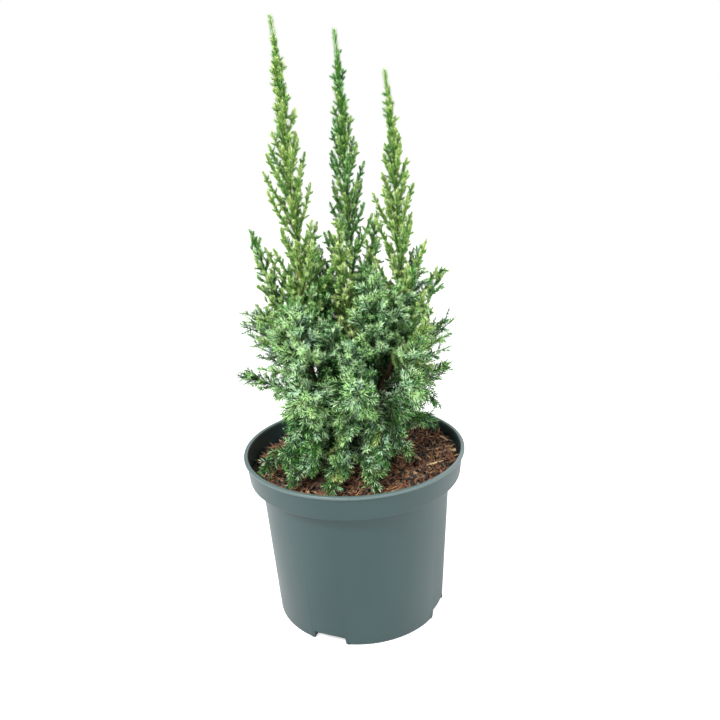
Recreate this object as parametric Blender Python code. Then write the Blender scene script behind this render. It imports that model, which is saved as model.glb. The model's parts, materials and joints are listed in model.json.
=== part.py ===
"""A young juniper with three leaders, grown in a round nursery pot, at its real size.

Metres, +Z up. The origin is the centre of the pot's flat underside, and the plant's front faces -Y.
Every sprig is a slim core with whorls of three needles standing out of it, larger than life.
"""

import math
import random

import bmesh
import bpy
import numpy as np
from mathutils import Matrix, Vector

# Pot
POT_HEIGHT = 0.134
LIP_RADIUS = 0.085
LIP_HEIGHT = 0.0026
LIP_WIDTH = 0.0030
COLLAR_TOP_RADIUS = 0.0835
COLLAR_FOOT_RADIUS = 0.0815
COLLAR_HEIGHT = 0.0195
BODY_TOP_RADIUS = 0.0730
FOOT_RADIUS = 0.0660
WALL = 0.0014
EDGE = 0.0006
POT_SIDES = 36
POT_CREASE = 30

# Drain notches round the foot of the pot, each under a hood, with a slot through the hood
NOTCH_COUNT = 4
NOTCH_TURN = math.radians(-22.5)
NOTCH_WIDTH = 0.028
NOTCH_HEIGHT = 0.0070
NOTCH_DEPTH = 0.0080
NOTCH_INNER = FOOT_RADIUS - NOTCH_DEPTH
HOOD_THICKNESS = 1.5 * WALL
DRAIN_LENGTH = 0.0034
DRAIN_WIDTH = 0.014
DRAIN_RADIUS = NOTCH_INNER + 0.42 * NOTCH_DEPTH

# Free space between one solid and the next
GAP = 0.0003

# Bark compost that fills the pot. Its surface is a slope with waves and ripples, in radians a metre.
SOIL_LEVEL = 0.1220
SOIL_SLOPE = 0.055
SOIL_BUMP = 0.0011
SOIL_FLAT_RADIUS = 0.012
SOIL_EASE = 0.024
SOIL_WAVES = (120, 95)
SOIL_RIPPLES = (60, 210)
RIPPLE_SHARE = 0.6
SOIL_RINGS = 3
SOIL_CREASE = 40

# Trunk and leaders
TRUNK_TOP = 0.152
TRUNK_RADII = (0.0068, 0.0050, 0.0043, 0.0040)
SPIRE_RADIUS = 0.0014
BOUGH_RADIUS = 0.0017
TWIG_RADIUS = 0.0011
LIMB_SIDES = 7
LEADER_STEPS = 8
LEADER_LEAN_SHARE = 0.3
BOUGH_SIDES = 5
BOUGH_STEPS = 2
BOUGH_TO_LEADER = 0.8
TWIG_SIDES = 3
LIMB_CREASE = 50

# Sprigs of needles
GOLDEN_TURN = math.radians(137.5)
STEM_STEPS = 3
SPRIG_FOOT = 0.00045
SPRIG_CORE = 0.0009
WHORL_OVERHANG = 1.22
CORE_SHARE = 0.34
SWELL_START = 0.30
SWELL_SPAN = 0.55
LAST_WHORL = 0.35
SIZE_FALL = 0.8
SIZE_SPREAD = (0.82, 1.08)
SEED = 7

# Share of a mass's stem that carries no sprig at its foot
BARE_FROM_LEADER = 0.12
BARE_FROM_TRUNK = 0.22
BARE_SPIRE = 0.02

# A sprig that would touch another is turned and shortened a few times before it is given up. Its foot may
# touch what it grows on.
ATTEMPTS = 8
ATTEMPT_TURN = 0.4
ATTEMPT_SHORTER = 0.06
FREE_FOOT_SHARE = 0.12
CROWDED_FOOT = 1.9
MOST_CROWDED_SHARE = 0.5
STEM_ROOM = 0.0012
SOIL_CLEARANCE = 0.0006

COLOURS = {
    "pot_plastic": ((0.085, 0.105, 0.112), 0.42),
    "bark_compost": ((0.130, 0.055, 0.028), 0.95),
    "stem_bark": ((0.210, 0.120, 0.050), 0.85),
    "spire_green": ((0.120, 0.260, 0.050), 0.60),
    "crown_green": ((0.070, 0.190, 0.090), 0.60),
}

# Each leader: the points that its stem follows from the trunk to where its spire of foliage takes over,
# the tip of that spire, and the stem's radii at its foot and where it enters the spire.
LEADERS = {
    "left": {
        "stem": (
            (-0.0045, 0.000, 0.142),
            (-0.020, -0.004, 0.172),
            (-0.0325, -0.006, 0.222),
            (-0.0318, -0.006, 0.290),
        ),
        "tip": (-0.0395, -0.008, 0.442),
        "radii": (0.0027, 0.0015),
    },
    "middle": {
        "stem": ((0.0015, 0.002, TRUNK_TOP + GAP), (0.004, 0.012, 0.200), (0.0050, 0.018, 0.284)),
        "tip": (0.0010, 0.020, 0.434),
        "radii": (0.0038, 0.0016),
    },
    "right": {
        "stem": (
            (0.0055, 0.001, 0.146),
            (0.022, -0.002, 0.180),
            (0.0365, -0.004, 0.220),
            (0.0395, -0.005, 0.268),
        ),
        "tip": (0.0330, -0.006, 0.406),
        "radii": (0.0027, 0.0015),
    },
}

# Each branch: what carries it, the height where it leaves, the tip of its foliage, how far its middle is
# lifted (below 0 it turns up towards its tip), and the share of its length that is a bare bough. A branch
# with no bough is clothed with sprigs from its foot, or nearly.
BRANCHES = {
    "left_upper": ("left", 0.222, (-0.066, 0.004, 0.303), -0.010, 0.26),
    "left_high": ("left", 0.206, (-0.066, -0.016, 0.268), -0.008, 0.26),
    "left_mid": ("left", 0.186, (-0.070, 0.004, 0.244), -0.006, 0.28),
    "left_arm": ("left", 0.164, (-0.080, -0.014, 0.192), 0.007, 0.28),
    "left_back": ("left", 0.176, (-0.052, 0.044, 0.226), -0.004, 0.28),
    "left_back_high": ("left", 0.216, (-0.040, 0.032, 0.288), -0.008, 0.0),
    "left_inner": ("left", 0.226, (-0.0145, -0.012, 0.300), -0.006, 0.0),
    "left_front_high": ("left", 0.196, (-0.036, -0.040, 0.256), -0.006, 0.26),
    "front_rising": ("middle", 0.188, (-0.003, -0.024, 0.312), -0.012, 0.20),
    "front_inner": ("middle", 0.172, (0.020, -0.032, 0.276), -0.012, 0.24),
    "front_left": ("left", 0.158, (-0.036, -0.056, 0.206), -0.004, 0.28),
    "front_centre": ("middle", 0.162, (0.006, -0.066, 0.200), 0.006, 0.28),
    "front_right": ("right", 0.162, (0.044, -0.052, 0.200), 0.002, 0.28),
    "right_upper": ("right", 0.212, (0.070, 0.002, 0.270), -0.008, 0.26),
    "right_rising": ("right", 0.186, (0.060, -0.026, 0.248), -0.012, 0.26),
    "right_mid": ("right", 0.176, (0.071, 0.008, 0.228), -0.004, 0.28),
    "right_arm": ("right", 0.164, (0.077, -0.014, 0.190), 0.005, 0.28),
    "right_back": ("right", 0.172, (0.052, 0.046, 0.220), -0.004, 0.28),
    "right_back_high": ("right", 0.206, (0.044, 0.034, 0.280), -0.008, 0.0),
    "middle_right": ("middle", 0.212, (0.0245, 0.006, 0.312), -0.008, 0.0),
    "back_rising": ("middle", 0.196, (-0.008, 0.056, 0.270), -0.006, 0.26),
    "back_arm": ("middle", 0.164, (0.004, 0.074, 0.206), 0.004, 0.28),
}

# Low sprays leave the trunk itself, with no limb of their own, and droop towards the compost. Each has the
# height where it leaves, the tip of its foliage, and how far its middle is lifted.
LOW_SPRAYS = {
    "low_front_left": (0.131, (-0.045, -0.052, 0.1300), 0.012),
    "low_front": (0.129, (-0.017, -0.064, 0.1290), 0.012),
    "low_front_right": (0.134, (0.014, -0.067, 0.1310), 0.013),
    "low_left": (0.1285, (-0.069, -0.026, 0.1290), 0.014),
    "low_right_front": (0.131, (0.045, -0.030, 0.1370), 0.010),
    "low_right": (0.136, (0.066, 0.004, 0.1480), 0.012),
    "low_back_right": (0.132, (0.046, 0.046, 0.1450), 0.012),
    "low_back": (0.136, (0.000, 0.064, 0.1420), 0.014),
    "low_back_left": (0.133, (-0.047, 0.040, 0.1430), 0.012),
}

# How the sprigs stand on each kind of stem: pitch along it, longest and shortest sprig, angle at the foot
# and towards the tip in degrees, needle whorl radius and pitch, how strongly sprigs turn up, and the share
# of the stem at its tip that carries whorls of needles instead of sprigs.
HABITS = {
    "spire": {"pitch": 0.0052, "longest": 0.032, "shortest": 0.012, "angles": (34, 24),
              "whorl": 0.0033, "whorl_pitch": 0.0120, "turn_up": 0.22, "bare_tip": 0.34},
    "bough": {"pitch": 0.0074, "longest": 0.034, "shortest": 0.015, "angles": (54, 36),
              "whorl": 0.0041, "whorl_pitch": 0.0130, "turn_up": 0.20, "bare_tip": 0.20},
    "low": {"pitch": 0.0078, "longest": 0.028, "shortest": 0.014, "angles": (54, 36),
            "whorl": 0.0039, "whorl_pitch": 0.0120, "turn_up": 0.06, "bare_tip": 0.20},
}


def clear_scene():
    for thing in list(bpy.data.objects):
        bpy.data.objects.remove(thing)


def make_material(name):
    colour, roughness = COLOURS[name]
    made = bpy.data.materials.new(name)
    made.use_nodes = True
    shader = made.node_tree.nodes["Principled BSDF"]
    shader.inputs["Base Color"].default_value = (*colour, 1.0)
    shader.inputs["Roughness"].default_value = roughness
    shader.inputs["Metallic"].default_value = 0.0
    return made


def add_object(name, bm, finish, smooth_angle=None, collection=None):
    """Turns a bmesh into a named object with one material."""
    bmesh.ops.triangulate(bm, faces=bm.faces)
    mesh = bpy.data.meshes.new(name)
    bm.to_mesh(mesh)
    bm.free()
    mesh.materials.append(bpy.data.materials.get(finish) or make_material(finish))
    if smooth_angle:
        mesh.shade_smooth()
        mesh.set_sharp_from_angle(angle=math.radians(smooth_angle))
    made = bpy.data.objects.new(name, mesh)
    (collection or bpy.context.scene.collection).objects.link(made)
    return made


def turned(profile, sides):
    """A closed solid of revolution about Z from a profile that runs from the axis and back to it."""
    bm = bmesh.new()
    points = [bm.verts.new((radius, 0.0, height)) for radius, height in profile]
    edges = [bm.edges.new(pair) for pair in zip(points, points[1:])]
    bmesh.ops.spin(
        bm, geom=points + edges, cent=(0, 0, 0), axis=(0, 0, 1), angle=math.tau, steps=sides, use_merge=True
    )
    bmesh.ops.remove_doubles(bm, verts=bm.verts, dist=1e-6)
    bmesh.ops.recalc_face_normals(bm, faces=bm.faces)
    return bm


def block_at(name, radii, width, heights, turn):
    """A block between two radii and two heights, turned about the axis."""
    bm = bmesh.new()
    bmesh.ops.create_cube(bm, size=1.0)
    bmesh.ops.scale(bm, verts=bm.verts, vec=(radii[1] - radii[0], width, heights[1] - heights[0]))
    bmesh.ops.translate(bm, verts=bm.verts, vec=(sum(radii) / 2, 0, sum(heights) / 2))
    bmesh.ops.rotate(bm, verts=bm.verts, cent=(0, 0, 0), matrix=Matrix.Rotation(turn, 3, "Z"))
    return add_object(name, bm, "pot_plastic")


def apply_boolean(target, operand, operation):
    """Joins or cuts target with an object or a whole collection, and removes what was used."""
    step = target.modifiers.new(operation.lower(), "BOOLEAN")
    step.operation = operation
    step.solver = "EXACT"
    if isinstance(operand, bpy.types.Collection):
        step.operand_type = "COLLECTION"
        step.collection = operand
        used = list(operand.objects)
    else:
        step.object = operand
        used = [operand]
    bpy.context.view_layer.update()
    evaluated = target.evaluated_get(bpy.context.evaluated_depsgraph_get())
    mesh = bpy.data.meshes.new_from_object(evaluated)
    target.modifiers.clear()
    target.data = mesh
    for thing in used:
        bpy.data.objects.remove(thing)
    if isinstance(operand, bpy.types.Collection):
        bpy.data.collections.remove(operand)


def keep_main_body(target):
    """Drops loose scraps and fills sealed hollows: only the body with the most faces stays."""
    bm = bmesh.new()
    bm.from_mesh(target.data)
    unseen = set(bm.verts)
    bodies = []
    while unseen:
        body, edge = set(), [next(iter(unseen))]
        while edge:
            vert = edge.pop()
            if vert not in body:
                body.add(vert)
                edge += [link.other_vert(vert) for link in vert.link_edges]
        unseen -= body
        bodies.append(body)
    bodies.sort(key=len, reverse=True)
    for scrap in bodies[1:]:
        print(f"{target.name}: a scrap of {len(scrap)} points is dropped")
        bmesh.ops.delete(bm, geom=list(scrap), context="VERTS")
    bm.to_mesh(target.data)
    bm.free()


def notch_turns():
    return [NOTCH_TURN + math.tau * k / NOTCH_COUNT for k in range(NOTCH_COUNT)]


def build_pot():
    collar_foot = POT_HEIGHT - COLLAR_HEIGHT
    profile = (
        (0, 0),
        (FOOT_RADIUS - 2 * EDGE, 0),
        (FOOT_RADIUS, 2 * EDGE),
        (BODY_TOP_RADIUS, collar_foot),
        (COLLAR_FOOT_RADIUS - EDGE, collar_foot),
        (COLLAR_FOOT_RADIUS, collar_foot + EDGE),
        (COLLAR_TOP_RADIUS, POT_HEIGHT - LIP_HEIGHT),
        (LIP_RADIUS, POT_HEIGHT - LIP_HEIGHT + EDGE),
        (LIP_RADIUS, POT_HEIGHT - EDGE),
        (LIP_RADIUS - EDGE, POT_HEIGHT),
        (LIP_RADIUS - LIP_WIDTH + EDGE, POT_HEIGHT),
        (LIP_RADIUS - LIP_WIDTH, POT_HEIGHT - EDGE),
        (COLLAR_FOOT_RADIUS - WALL, collar_foot + WALL),
        (BODY_TOP_RADIUS - WALL, collar_foot + WALL),
        (FOOT_RADIUS - WALL, WALL),
        (0, WALL),
    )
    pot = add_object("pot", turned(profile, POT_SIDES), "pot_plastic", POT_CREASE)
    hood_radii = (NOTCH_INNER - HOOD_THICKNESS, FOOT_RADIUS - WALL)
    notch_radii = (NOTCH_INNER, NOTCH_INNER + 2 * NOTCH_DEPTH)
    drain_radii = (DRAIN_RADIUS - DRAIN_LENGTH / 2, DRAIN_RADIUS + DRAIN_LENGTH / 2)
    for turn in notch_turns():
        hood = block_at("hood", hood_radii, NOTCH_WIDTH + 2 * WALL, (EDGE, NOTCH_HEIGHT + WALL), turn)
        apply_boolean(pot, hood, "UNION")
    for turn in notch_turns():
        notch = block_at("notch", notch_radii, NOTCH_WIDTH, (-NOTCH_HEIGHT, NOTCH_HEIGHT), turn)
        apply_boolean(pot, notch, "DIFFERENCE")
        drain = block_at("drain", drain_radii, DRAIN_WIDTH, (NOTCH_HEIGHT / 2, 2 * NOTCH_HEIGHT), turn)
        apply_boolean(pot, drain, "DIFFERENCE")


def soil_height(x, y):
    """Height of the compost: level at the trunk, higher to the right, with a gently heaped surface."""
    away = math.hypot(x, y)
    share = min(1.0, max(0.0, (away - SOIL_FLAT_RADIUS) / SOIL_EASE))
    waves = math.sin(SOIL_WAVES[0] * x + 1.0) * math.cos(SOIL_WAVES[1] * y)
    ripples = math.sin(SOIL_RIPPLES[1] * y + SOIL_RIPPLES[0] * x)
    return SOIL_LEVEL + share * (SOIL_SLOPE * x + SOIL_BUMP * (waves + RIPPLE_SHARE * ripples))


def build_soil():
    collar_foot = POT_HEIGHT - COLLAR_HEIGHT
    clear = WALL + GAP
    shelf = collar_foot + clear
    rim_radius = COLLAR_FOOT_RADIUS - clear
    profile = [
        (0, clear),
        (FOOT_RADIUS - clear - EDGE, clear),
        (BODY_TOP_RADIUS - clear - EDGE / 2, shelf),
        (rim_radius, shelf),
        (rim_radius, SOIL_LEVEL),
    ]
    for ring in range(SOIL_RINGS, 0, -1):
        radius = SOIL_FLAT_RADIUS + (rim_radius - SOIL_FLAT_RADIUS) * (ring - 0.5) / SOIL_RINGS
        profile.append((radius, SOIL_LEVEL))
    profile += [(SOIL_FLAT_RADIUS, SOIL_LEVEL), (0, SOIL_LEVEL)]
    bm = turned(profile, POT_SIDES)
    for vert in bm.verts:
        if vert.co.z > SOIL_LEVEL - GAP:
            vert.co.z = soil_height(vert.co.x, vert.co.y)
    soil = add_object("bark_compost", bm, "bark_compost", SOIL_CREASE)
    near = NOTCH_INNER - 2 * WALL - GAP
    radii = (near, near + 2 * NOTCH_DEPTH)
    for turn in notch_turns():
        room = block_at("room", radii, NOTCH_WIDTH + 2 * (WALL + GAP), (0, NOTCH_HEIGHT + WALL + GAP), turn)
        apply_boolean(soil, room, "DIFFERENCE")


def smooth_path(points, t):
    """A point on the Catmull-Rom curve through the points, with t from 0 to 1."""
    points = [Vector(p) for p in points]
    ends = [2 * points[0] - points[1], *points, 2 * points[-1] - points[-2]]
    place = min(max(t, 0.0), 1.0) * (len(points) - 1)
    k = min(int(place), len(points) - 2)
    u = place - k
    a, b, c, d = ends[k : k + 4]
    square, cube = 2 * a - 5 * b + 4 * c - d, 3 * b - a - 3 * c + d
    return 0.5 * (2 * b + (c - a) * u + square * u * u + cube * u ** 3)


def arched(start, end, lift):
    """A path from start to end whose middle is lifted."""
    def at(t):
        return start.lerp(end, t) + Vector((0, 0, lift)) * 4 * t * (1 - t)
    return at


def part_of(path, low, high):
    """The stretch of a path between two shares of it, as a path of its own."""
    def at(t):
        return path(low + (high - low) * t)
    return at


def in_straights(path, steps):
    """The path as a limb's straight stretches follow it, so that what starts on it starts on the limb."""
    def at(t):
        k = min(int(t * steps), steps - 1)
        return path(k / steps).lerp(path((k + 1) / steps), t * steps - k)
    return at


def direction(path, t):
    step = 0.01
    low = t if t <= step else t - step
    high = t if t >= 1 - step else t + step
    return (path(high) - path(low)).normalized()


def length_of(path, steps=12):
    return sum((path((k + 1) / steps) - path(k / steps)).length for k in range(steps))


def side_of(path):
    """A direction square to the whole path, from which turns about it are counted."""
    chord = (path(1) - path(0)).normalized()
    return chord.cross(Vector((0, 0, 1)) if abs(chord.z) < 0.9 else Vector((0, -1, 0))).normalized()


def across(axis, turn, side):
    """A unit vector square to axis, turned about it from side."""
    side = (side - axis * side.dot(axis)).normalized()
    return side * math.cos(turn) + axis.cross(side) * math.sin(turn)


def ring_points(path, t, radius, sides, turn, facing=None):
    """The corners of a path's cross-section. Where facing is given, they lie in the plane square to it."""
    axis, side = direction(path, t), side_of(path)
    centre = path(t)
    points = []
    for k in range(sides):
        offset = across(axis, turn + math.tau * k / sides, side) * radius
        if facing is not None:
            offset -= axis * (offset.dot(facing) / axis.dot(facing))
        points.append(centre + offset)
    return points


def lofted(rings, tip=None):
    """A closed solid over cross-sections of equal count, ending in a flat cap or in a point."""
    bm = bmesh.new()
    loops = [[bm.verts.new(p) for p in ring] for ring in rings]
    sides = len(rings[0])
    bm.faces.new(loops[0][::-1])
    for low, high in zip(loops, loops[1:]):
        for k in range(sides):
            j = (k + 1) % sides
            bm.faces.new((low[k], low[j], high[k]))
            bm.faces.new((low[j], high[j], high[k]))
    if tip is None:
        bm.faces.new(loops[-1])
    else:
        point = bm.verts.new(tip)
        for k in range(sides):
            bm.faces.new((loops[-1][k], loops[-1][(k + 1) % sides], point))
    bmesh.ops.recalc_face_normals(bm, faces=bm.faces)
    return bm


def tapered_limb(path, radii, sides, steps, facing=None):
    """A limb along a path, thinning towards its tip. Its foot may lie in the plane square to facing."""
    rings = []
    for k in range(steps + 1):
        t = k / steps
        radius = radii[0] + (radii[1] - radii[0]) * t
        rings.append(ring_points(path, t, radius, sides, 0, facing if k == 0 else None))
    return lofted(rings)


def needle_shoot(path, length, bare, foot_radius, core, habit, turn, facing=None):
    """A three-sided stem that is bare for a share of its length and then carries whorls of three needles."""
    rings = [ring_points(path, 0, foot_radius, TWIG_SIDES, turn, facing)]
    bare_steps = STEM_STEPS if bare else 0
    for k in range(1, bare_steps + 1):
        t = bare * k / bare_steps
        rings.append(ring_points(path, t, core, TWIG_SIDES, turn))
    clothed = length * (1 - bare)
    count = max(2, round(clothed / habit["whorl_pitch"]))
    pitch = (1 - bare) / (count + LAST_WHORL)
    for k in range(count):
        swell = math.sin(math.pi * (SWELL_START + SWELL_SPAN * (k + 0.5) / count))
        t = bare + pitch * (k + WHORL_OVERHANG)
        rings.append(ring_points(path, t, habit["whorl"] * swell, TWIG_SIDES, turn))
        turn += math.pi / TWIG_SIDES
        t = bare + pitch * (k + 1)
        slim = min(core, habit["whorl"] * swell * CORE_SHARE)
        rings.append(ring_points(path, t, slim, TWIG_SIDES, turn))
    return lofted(rings, tip=path(1))


class Keepout:
    """The stretches that are taken, as thick lines, each with the name of the mass or limb it belongs to."""

    def __init__(self):
        self.starts, self.ends, self.radii, self.owners = [], [], [], []

    def add(self, path, radius, owner, steps=3, first=0.0):
        marks = [path(first + (1 - first) * k / steps) for k in range(steps + 1)]
        for a, b in zip(marks, marks[1:]):
            self.starts.append(tuple(a))
            self.ends.append(tuple(b))
            self.radii.append(radius)
            self.owners.append(owner)

    def is_clear(self, path, radius, apart_from, margin, steps=3, first=0.0):
        marks = [path(first + (1 - first) * k / steps) for k in range(steps + 1)]
        keep = [k for k, owner in enumerate(self.owners) if owner not in apart_from]
        if not keep:
            return True
        starts, ends = np.array(self.starts)[keep], np.array(self.ends)[keep]
        needed = np.array(self.radii)[keep] + radius + margin
        return all(
            (segment_distances(np.array(a), np.array(b), starts, ends) > needed).all()
            for a, b in zip(marks, marks[1:])
        )


def segment_distances(a, b, starts, ends):
    """Least distance from the segment a-b to each of many others."""
    d1, d2, r = b - a, ends - starts, a - starts
    len1, len2 = d1 @ d1, np.maximum((d2 * d2).sum(1), 1e-12)
    c, f, e = r @ d1, (d2 * r).sum(1), d2 @ d1
    spread = np.maximum(len1 * len2 - e * e, 1e-16)
    s = np.clip((e * f - c * len2) / spread, 0, 1)
    t = np.clip((e * s + f) / len2, 0, 1)
    s = np.clip((e * t - c) / max(len1, 1e-12), 0, 1)
    gap = r + s[:, None] * d1 - t[:, None] * d2
    return np.sqrt((gap * gap).sum(1))


def above_soil(path, radius):
    """True where a sprig stays over the compost and the pot's rim."""
    for k in range(5):
        p = path(k / 4)
        over_rim = math.hypot(p.x, p.y) > COLLAR_FOOT_RADIUS - WALL - radius - GAP
        floor = POT_HEIGHT if over_rim else soil_height(p.x, p.y) + SOIL_CLEARANCE
        if p.z - radius < floor + GAP:
            return False
    return True


def sprig_path(stem, t, turn, length, angle, turn_up):
    """The curved line of one sprig that leaves a stem at share t, leans off it by angle and turns up."""
    stem_axis = direction(stem, t)
    out = across(stem_axis, turn, side_of(stem))
    axis = (stem_axis * math.cos(angle) + out * math.sin(angle)).normalized()
    foot = stem(t)
    end = foot + axis * length
    mid = foot + axis * length * 0.5
    tip = mid + (end - mid + Vector((0, 0, 1)) * length * turn_up).normalized() * length * 0.5

    def at(s):
        return foot * (1 - s) ** 2 + mid * 2 * s * (1 - s) + tip * s * s
    return at


def grow_mass(name, stem, radius, habit, finish, taken, carrier, bare, facing=None):
    """One mass of foliage: a stem that ends in needles, with sprigs all round it that touch nothing else."""
    rng = random.Random(f"{SEED}-{name}")
    own_stem = name + " stem"
    length = length_of(stem)
    tip_share = 1 - habit["bare_tip"]
    bent = part_of(in_straights(part_of(stem, 0, tip_share), STEM_STEPS), 0, 1 / tip_share)
    shoot = needle_shoot(stem, length, tip_share, radius, radius, habit, rng.random() * math.tau, facing)
    body = add_object(name, shoot, finish)
    sprigs = bpy.data.collections.new(name + "_sprigs")
    bpy.context.scene.collection.children.link(sprigs)
    count = round(length * (tip_share - bare) / habit["pitch"])
    turn = rng.random() * math.tau
    grown = 0
    for k in range(count):
        t = bare + (tip_share - bare) * (k + 0.5) / count
        share = (t - bare) / (1 - bare)
        size = habit["shortest"] + (habit["longest"] - habit["shortest"]) * (1 - share) ** SIZE_FALL
        size *= rng.uniform(*SIZE_SPREAD)
        turn += GOLDEN_TURN
        angle = math.radians(habit["angles"][0] + (habit["angles"][1] - habit["angles"][0]) * share)
        for attempt in range(ATTEMPTS):
            lean = turn + attempt * ATTEMPT_TURN * (-1) ** attempt
            reach = size * (1 - ATTEMPT_SHORTER * attempt)
            path = sprig_path(bent, t, lean, reach, angle, habit["turn_up"])
            first = min(MOST_CROWDED_SHARE, (radius + habit["whorl"] * CROWDED_FOOT) / reach)
            if (
                taken.is_clear(path, habit["whorl"], {name, own_stem}, GAP, first=FREE_FOOT_SHARE)
                and taken.is_clear(path, habit["whorl"], {own_stem, carrier}, GAP, first=first)
                and above_soil(path, habit["whorl"])
            ):
                taken.add(path, habit["whorl"], name, first=first)
                shoot = needle_shoot(path, reach, 0, SPRIG_FOOT, SPRIG_CORE, habit, rng.random() * math.tau)
                add_object(f"{name}_sprig_{k}", shoot, finish, collection=sprigs)
                grown += 1
                break
    apply_boolean(body, sprigs, "UNION")
    keep_main_body(body)
    print(f"{name}: {grown} of {count} sprigs, {len(body.data.polygons)} faces")


def trunk_path(t):
    return Vector((0.0015 * t, 0.002 * t * t, SOIL_LEVEL + GAP + (TRUNK_TOP - SOIL_LEVEL - GAP) * t))


def trunk_radius(height):
    share = (height - SOIL_LEVEL) / (TRUNK_TOP - SOIL_LEVEL) * (len(TRUNK_RADII) - 1)
    k = min(max(int(share), 0), len(TRUNK_RADII) - 2)
    return TRUNK_RADII[k] + (TRUNK_RADII[k + 1] - TRUNK_RADII[k]) * (share - k)


def build_trunk():
    steps = len(TRUNK_RADII) - 1
    rings = [
        ring_points(trunk_path, k / steps, TRUNK_RADII[k], LIMB_SIDES + 2, 0, Vector((0, 0, 1)))
        for k in range(steps + 1)
    ]
    add_object("trunk", lofted(rings), "stem_bark", LIMB_CREASE)


def leader_path(name):
    """The stem's curve, and the spire's curve that carries on from it."""
    points = LEADERS[name]["stem"]
    top, tip = Vector(points[-1]), Vector(LEADERS[name]["tip"])
    rise = (top - Vector(points[-2])).normalized()

    def stem(t):
        return smooth_path(points, t)

    foot = top + rise * GAP
    mid = foot + rise * (tip - foot).length * 0.5

    def spire(t):
        return foot * (1 - t) ** 2 + mid * 2 * t * (1 - t) + tip * t * t
    return stem, spire


def at_height(path, height):
    """Share of a rising path at which it reaches a height."""
    low, high = 0.0, 1.0
    for _ in range(30):
        middle = (low + high) / 2
        low, high = (middle, high) if path(middle).z < height else (low, middle)
    return low


def leave_from(carrier_point, carrier_axis, radius, tip):
    """Where a limb leaves its carrier, clear of the bark on the side towards its tip, and how it faces."""
    towards = tip - carrier_point
    facing = (towards - carrier_axis * towards.dot(carrier_axis)).normalized()
    return carrier_point + facing * (radius + GAP), facing


def main():
    clear_scene()
    build_pot()
    build_soil()
    build_trunk()
    taken = Keepout()
    taken.add(trunk_path, max(TRUNK_RADII[1:]), "trunk")

    stems = {}
    spires = {}
    for name, leader in LEADERS.items():
        stem, spire = leader_path(name)
        foot_radius, top_radius = leader["radii"]
        facing = Vector((0, 0, 1))
        if name != "middle":
            height = leader["stem"][0][2]
            axis_point = trunk_path((height - SOIL_LEVEL) / (TRUNK_TOP - SOIL_LEVEL))
            flare = trunk_radius(height - 2 * foot_radius)
            foot, facing = leave_from(axis_point, Vector((0, 0, 1)), flare, stem(LEADER_LEAN_SHARE))
            points = (tuple(foot), *leader["stem"][1:])

            def stem(t, points=points):
                return smooth_path(points, t)
        limb = tapered_limb(stem, (foot_radius, top_radius), LIMB_SIDES, LEADER_STEPS, facing)
        add_object(f"leader_{name}", limb, "stem_bark", LIMB_CREASE)
        stems[name] = (in_straights(stem, LEADER_STEPS), leader["radii"])
        spires[name] = spire
        taken.add(stem, foot_radius, f"leader_{name}", steps=6)

    masses = []
    for name, (carrier, height, tip, lift, bare) in BRANCHES.items():
        stem, radii = stems[carrier]
        t = at_height(stem, height)
        radius = radii[0] + (radii[1] - radii[0]) * t
        start, facing = leave_from(stem(t), direction(stem, t), radius, Vector(tip))
        path = arched(start, Vector(tip), lift)
        if not bare:
            masses.append((f"foliage_{name}", path, "bough", f"leader_{carrier}", facing, BARE_FROM_LEADER))
            continue
        foot_radius = min(BOUGH_RADIUS, radius * BOUGH_TO_LEADER)
        bough = part_of(path, 0, bare)
        limb = tapered_limb(bough, (foot_radius, TWIG_RADIUS), BOUGH_SIDES, BOUGH_STEPS, facing)
        add_object(f"bough_{name}", limb, "stem_bark", LIMB_CREASE)
        taken.add(bough, foot_radius, f"bough_{name}")
        clothed = part_of(path, bare + GAP / length_of(path), 1)
        masses.append((f"foliage_{name}", clothed, "bough", f"bough_{name}", None, 0.0))
    for name, (height, tip, lift) in LOW_SPRAYS.items():
        point = trunk_path((height - SOIL_LEVEL) / (TRUNK_TOP - SOIL_LEVEL))
        start, facing = leave_from(point, Vector((0, 0, 1)), trunk_radius(height), Vector(tip))
        path = arched(start, Vector(tip), lift)
        masses.append((f"foliage_{name}", path, "low", "trunk", facing, BARE_FROM_TRUNK))
    for name, spire in spires.items():
        masses.append((f"spire_{name}", spire, "spire", f"leader_{name}", None, BARE_SPIRE))

    for name, path, _, _, _, _ in masses:
        taken.add(path, STEM_ROOM, name + " stem", steps=8)
    for name, path, habit, carrier, facing, bare in masses:
        finish = "spire_green" if habit == "spire" else "crown_green"
        radius = SPIRE_RADIUS if habit == "spire" else TWIG_RADIUS
        grow_mass(name, path, radius, HABITS[habit], finish, taken, carrier, bare, facing)


main()
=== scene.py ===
# %% [markdown]
# # A young juniper in a nursery pot
# This lesson dresses a plain solid model of a potted juniper. The solids come in as a fixed frame: a pot,
# its bark compost, a short trunk, three leaders, their boughs and the masses of foliage. Each solid is
# replaced by a finer piece that grows from the same named sizes, so nothing has to be fitted afterwards.

# %% Load the frame
import json
import math
import random

import bmesh
import bpy
import numpy as np
from mathutils import Matrix, Vector, noise

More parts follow.
